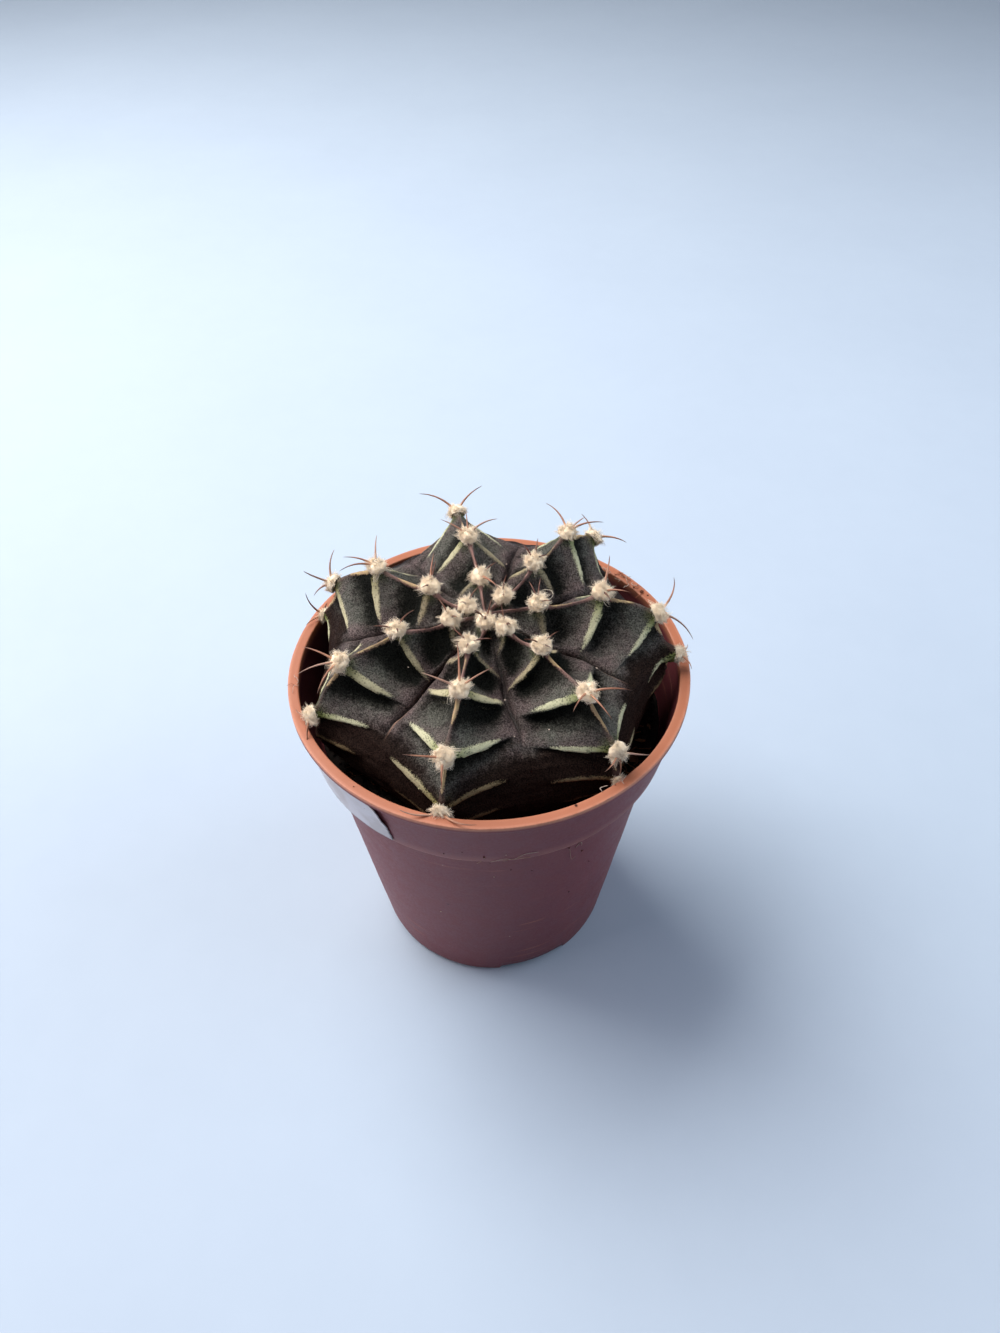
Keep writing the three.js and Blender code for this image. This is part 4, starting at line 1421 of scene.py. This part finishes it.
def scatterCrumbs(rng):
    crumbs = []
    for _ in range(soil["crumbs"]):
        turn, r = rng.uniform(0, 2 * math.pi), rng.uniform(soil["crumbsFrom"], soilEdge - 0.9)
        size = rng.uniform(*soil["crumbSize"]) * rng.choice([0.5, 0.7, 1.0])
        spot = onSoil(min(r, soilEdge - 0.2 - size), turn, size * 0.15)
        crumbs.append(shaded(crumb(spot, size, rng), rng.random()))
    settleLumps("soilCrumbs", crumbs, soilMaterial)


def scatterFibres(rng):
    strands, steps = [], 6
    edge = soilEdge - 0.5
    for _ in range(soil["fibres"]):
        turn, r = rng.uniform(0, 2 * math.pi), rng.uniform(soil["fibresFrom"], soilEdge - 1.5)
        heading = rng.uniform(0, 2 * math.pi)
        x, y, z = onSoil(r, turn, rng.uniform(0.1, 0.6))
        length = rng.uniform(*soil["fibreLength"])
        path = []
        for _ in range(steps + 1):
            if math.hypot(x, y) > edge:
                x, y = x * edge / math.hypot(x, y), y * edge / math.hypot(x, y)
            path.append((x, y, max(z, soilHeight(x, y) + 0.05)))
            heading += rng.gauss(0, 0.35)
            x += math.cos(heading) * length / steps
            y += math.sin(heading) * length / steps
            z += rng.gauss(0.02, 0.12)
        radius = rng.uniform(*soil["fibreRadius"])
        strands.append((path, [radius] * steps + [0.01], rng.random()))
    settleStrands("soilFibres", strands, 5, flakeMaterial)


# flat chips of bark, a few of them together at the front
def scatterFlakes(rng):
    flakes = []
    for k in range(soil["flakes"]):
        arc = soil["frontArc"] if k < soil["frontFlakes"] else (0, 360)
        turn = math.radians(rng.uniform(*arc))
        x, y, z = onSoil(rng.uniform(soil["flakesFrom"], soilEdge - 1.2), turn, 0.45)
        points, faces = crumb((0, 0, 0), rng.uniform(0.4, 1.0), rng)
        tilt = Matrix.Rotation(rng.uniform(-0.7, 0.7), 3, "X") @ Matrix.Rotation(rng.uniform(0, 3.1), 3, "Z")
        placed = []
        for point in points:
            v = tilt @ Vector((point[0] * 1.3, point[1] * 0.8, point[2] * 0.3))
            placed.append((x + v.x, y + v.y, z + v.z))
        flakes.append(shaded((placed, faces), rng.random() * 0.8))
    settleLumps("barkFlakes", flakes, flakeMaterial)


def buildSoil():
    rng = random.Random(soil["seed"])
    buildBed()
    scatterCrumbs(rng)
    scatterFibres(rng)
    scatterFlakes(rng)


buildSoil()
print("soil ready")


# Bits that lie about on the pot and the plant: threads and grit on the wall are [azimuth, height], on the
# lip [azimuth, radius], and on the plant [rib, how far across, distance from the crown, size].

marks = {
    "wallThreads": [[(265.5, 38.7), (269, 40.4), (274.2, 42.0), (278, 42.3), (282.1, 42.0)],
                    [(270, 41.8), (274, 42.6), (276.5, 42.2), (280, 43.4), (284, 43.2)],
                    [(296.5, 38.4), (297.3, 36.4), (298, 34.9), (298.8, 34.5), (299.7, 35.1)],
                    [(298.9, 37.7), (300, 38.5), (301, 38.4), (301.3, 37.3)]],
    "wallGrit": [(268.1, 43.3), (269.7, 38.8), (276.5, 36.5), (283.7, 35.2), (296.1, 38.6), (302.2, 35.5),
                 (307.5, 30.3), (301, 23.3), (262, 44.4), (290.2, 40.2), (256.5, 43.1)],
    "wallDust": [(268.3, 42.9), (274.4, 43.7), (270.9, 34.7), (288.4, 39.4), (249, 20.4)],
    "lipGrit": [(293.7, 26.3, 0.22), (32.7, 26.7, 0.36), (35.8, 26.4, 0.2), (30.4, 27, 0.16),
                (306.6, 26.2, 0.14), (231, 26.8, 0.1), (148, 26.9, 0.15)],
    "lipThreads": [(29, 47, 16), (302, 312, 3), (186, 192, 3)],      # from and to which azimuth, how many
    "plantGrit": [(0, 0.97, 13.6, 0.15), (0, -0.97, 16.2, 0.14), (1, 0.94, 21.5, 0.16), (1, 0.85, 23.4, 0.2),
                  (4, -0.9, 17, 0.16), (6, 0.45, 13.4, 0.14), (0, 0.9, 24, 0.12), (1, -0.55, 24.6, 0.12)],
    "wallGritSize": (0.07, 0.15),
    "wallDustSize": (0.07, 0.12),
    "threadRadius": 0.036,
    "lipThreadBand": (25.6, 27.3),     # the radii between which they start
    "lipThreadRadius": (0.025, 0.05),
    "lipThreadStep": 0.22,
    "seed": 77,
}


def makeMarkMaterial():
    look = {"pale": colour(206, 190, 176), "rust": colour(128, 70, 44), "dark": colour(32, 22, 20),
            "bump": (0.5, 0.08), "roughness": (0.65, 0.9)}
    material, tree, shader = startMaterial("driedBits", 0.8, Specular_IOR_Level=0.3)
    uneven = useGroup(tree, grain, Size=0.5, Fine=0.12, Balance=0.5)
    shade = readValue(tree, "shade")
    bits = mixColour(tree, ramp(tree, shade, 0.15, 0.5), look["dark"], look["rust"])
    bits = mixColour(tree, ramp(tree, shade, 0.55, 0.85), bits, look["pale"])
    bits = mixColour(tree, times(tree, uneven["Mask"], 0.3), bits, look["rust"])
    finishMaterial(tree, shader, look, bits, uneven["Height"], grainRoughness(tree, uneven["Height"], look))
    return material


# A point just off the outside of the pot
def wallSpot(azimuth, height, lift):
    p = pot
    if height > p["shoulder"]:
        radius = collarRadius(height - p["height"])
    else:
        radius = p["baseRadius"] + (p["shoulderRadius"] - p["baseRadius"]) * height / p["shoulder"]
    return polarPoint(radius + lift, math.radians(azimuth), height)


def scatterThreads(rng, material):
    strands, steps = [], 17
    for corners in marks["wallThreads"]:
        path = alongProfile(corners, np.linspace(0, 1, steps + 1))
        spots = [wallSpot(azimuth, height, 0.05) for azimuth, height in path]
        radius = marks["threadRadius"] * rng.uniform(0.7, 1.2)
        strands.append((spots, [radius] * steps + [0.01], rng.uniform(0.6, 0.8)))
    top, steps = pot["height"], 8
    for start, end, count in marks["lipThreads"]:
        for _ in range(count):
            turn, radius = math.radians(rng.uniform(start, end)), rng.uniform(*marks["lipThreadBand"])
            heading = rng.uniform(0, 2 * math.pi)
            x, y, z = polarPoint(radius, turn, top + 0.1)
            path = []
            for _ in range(steps + 1):
                path.append((x, y, z))
                heading += rng.gauss(0, 0.5)
                x += marks["lipThreadStep"] * math.cos(heading)
                y += marks["lipThreadStep"] * math.sin(heading)
                z = max(top + 0.06, z + rng.gauss(0.02, 0.08))
            radii = [rng.uniform(*marks["lipThreadRadius"])] * steps + [0.005]
            strands.append((path, radii, rng.uniform(0.45, 1.0)))
    settleStrands("driedThreads", strands, 5, material)


def scatterGrit(rng, material):
    grit = []
    for azimuth, height in marks["wallGrit"]:
        size = rng.uniform(*marks["wallGritSize"])
        grit.append((wallSpot(azimuth, height, 0.02), size, rng.uniform(0, 0.3)))
    for azimuth, height in marks["wallDust"]:
        grit.append((wallSpot(azimuth, height, 0.02), rng.uniform(*marks["wallDustSize"]), 0.9))
    for azimuth, radius, size in marks["lipGrit"]:
        spot = polarPoint(radius, math.radians(azimuth), pot["height"] + size * 0.3)
        grit.append((spot, size, rng.uniform(0, 0.4)))
    for ribNumber, across, at, size in marks["plantGrit"]:
        x, y, z = skin(ribNumber, across, at)
        grit.append(((x, y, z + 0.1), size, rng.uniform(0.7, 1)))
    settleLumps("grit", [shaded(crumb(spot, size, rng), shade) for spot, size, shade in grit], material)


def scatterMarks():
    rng = random.Random(marks["seed"])
    material = makeMarkMaterial()
    scatterThreads(rng, material)
    scatterGrit(rng, material)


# the mix that has packed into the drain slots, a little back from the wall; its dark lumps stand in for the
# shade inside the slots as well
def fillDrains():
    rng = random.Random(marks["seed"] + 1)
    p = pot
    muckAndShade = []
    for azimuth in p["drainAzimuths"]:
        turn = math.radians(azimuth)
        for _ in range(p["drainMuckAndShade"]):
            inwards = p["baseRadius"] - rng.uniform(p["slotLumpBack"], p["drainDepth"] - 0.3)
            aside = rng.uniform(-0.5, 0.5) * (p["drainWidth"] - 1.2)
            size = rng.uniform(*p["slotLumpSize"])
            x = inwards * math.cos(turn) - aside * math.sin(turn)
            y = inwards * math.sin(turn) + aside * math.cos(turn)
            z = rng.uniform(size * 0.6, p["drainHeight"] - size * 0.4)
            points, faces = crumb((x, y, z), size, rng)
            points = [(a, b, min(max(c, 0.02), p["drainHeight"] + 0.3)) for a, b, c in points]
            muckAndShade.append(shaded((points, faces), rng.random() * 0.6))
    settleLumps("drainMuckAndShade", muckAndShade, soilMaterial)


scatterMarks()
fillDrains()
print("bits and drain slots ready")


# floor, light and camera

studio = {
    "floorSize": 1500,         # from the middle to each edge
    "floorColour": colour(182, 196, 212),
    "floorShade": colour(166, 180, 198),
    "worldColour": colour(200, 216, 240),
    "worldStrength": 0.2,
    # place, target, size in metres, power in watts, tint
    "lamps": [("overhead", (-0.26, 0.2, 0.5), (0, 0, 0.04), 0.45, 5.6, (1.0, 0.975, 0.94)),
              ("leftFill", (-0.5, -0.05, 0.16), (0, 0, 0.03), 0.4, 1.5, (1.0, 0.86, 0.87)),
              ("rightFill", (0.45, 0.02, 0.3), (0, 0, 0.03), 0.4, 1.3, (0.84, 0.9, 1.0))],
    "lensLength": 28.36,       # on a sensor 36 mm wide
    "cameraPlace": (0.00147, -0.10037, 0.15644),       # in metres
    "cameraRight": (0.99994, -0.00801, -0.00766),      # where the camera's own right and top point
    "cameraUp": (0.01108, 0.72246, 0.69126),
}


def makeFloor():
    material, tree, shader = startMaterial("floorPaint", 0.85, Specular_IOR_Level=0.2)
    uneven = useGroup(tree, grain, Size=40.0, Fine=6.0, Balance=0.3)
    share = times(tree, uneven["Height"], 0.5)
    paint = mixColour(tree, share, studio["floorColour"], studio["floorShade"])
    tree.links.new(paint, shader.inputs["Base Color"])
    size = studio["floorSize"]
    corners = [(-size, -size, 0), (size, -size, 0), (size, size, 0), (-size, size, 0)]
    floor = makeMesh("floor", corners, [(0, 1, 2, 3)], [material])


def addArea(name, place, target, size, power, tint):
    data = bpy.data.lights.new(name, "AREA")
    data.size = size
    data.energy = power
    data.color = tint
    lamp = bpy.data.objects.new(name, data)
    scene.collection.objects.link(lamp)
    lamp.location = place
    lamp.rotation_euler = (Vector(target) - Vector(place)).to_track_quat("-Z", "Y").to_euler()


def makeStudio():
    world = bpy.data.worlds.new("studio")
    scene.world = world
    world.use_nodes = True
    background = world.node_tree.nodes["Background"]
    background.inputs["Color"].default_value = studio["worldColour"]
    background.inputs["Strength"].default_value = studio["worldStrength"]
    scene.view_settings.view_transform = "Standard"
    for lamp in studio["lamps"]:
        addArea(*lamp)
    data = bpy.data.cameras.new("camera")
    data.lens = studio["lensLength"]
    data.sensor_width = 36
    data.clip_start = 0.005
    camera = bpy.data.objects.new("camera", data)
    scene.collection.objects.link(camera)
    right, up = Vector(studio["cameraRight"]), Vector(studio["cameraUp"])
    back = right.cross(up)
    camera.matrix_world = Matrix((
        (right.x, up.x, back.x, studio["cameraPlace"][0]),
        (right.y, up.y, back.y, studio["cameraPlace"][1]),
        (right.z, up.z, back.z, studio["cameraPlace"][2]),
        (0, 0, 0, 1)))
    scene.camera = camera


makeFloor()
makeStudio()
print("studio ready")
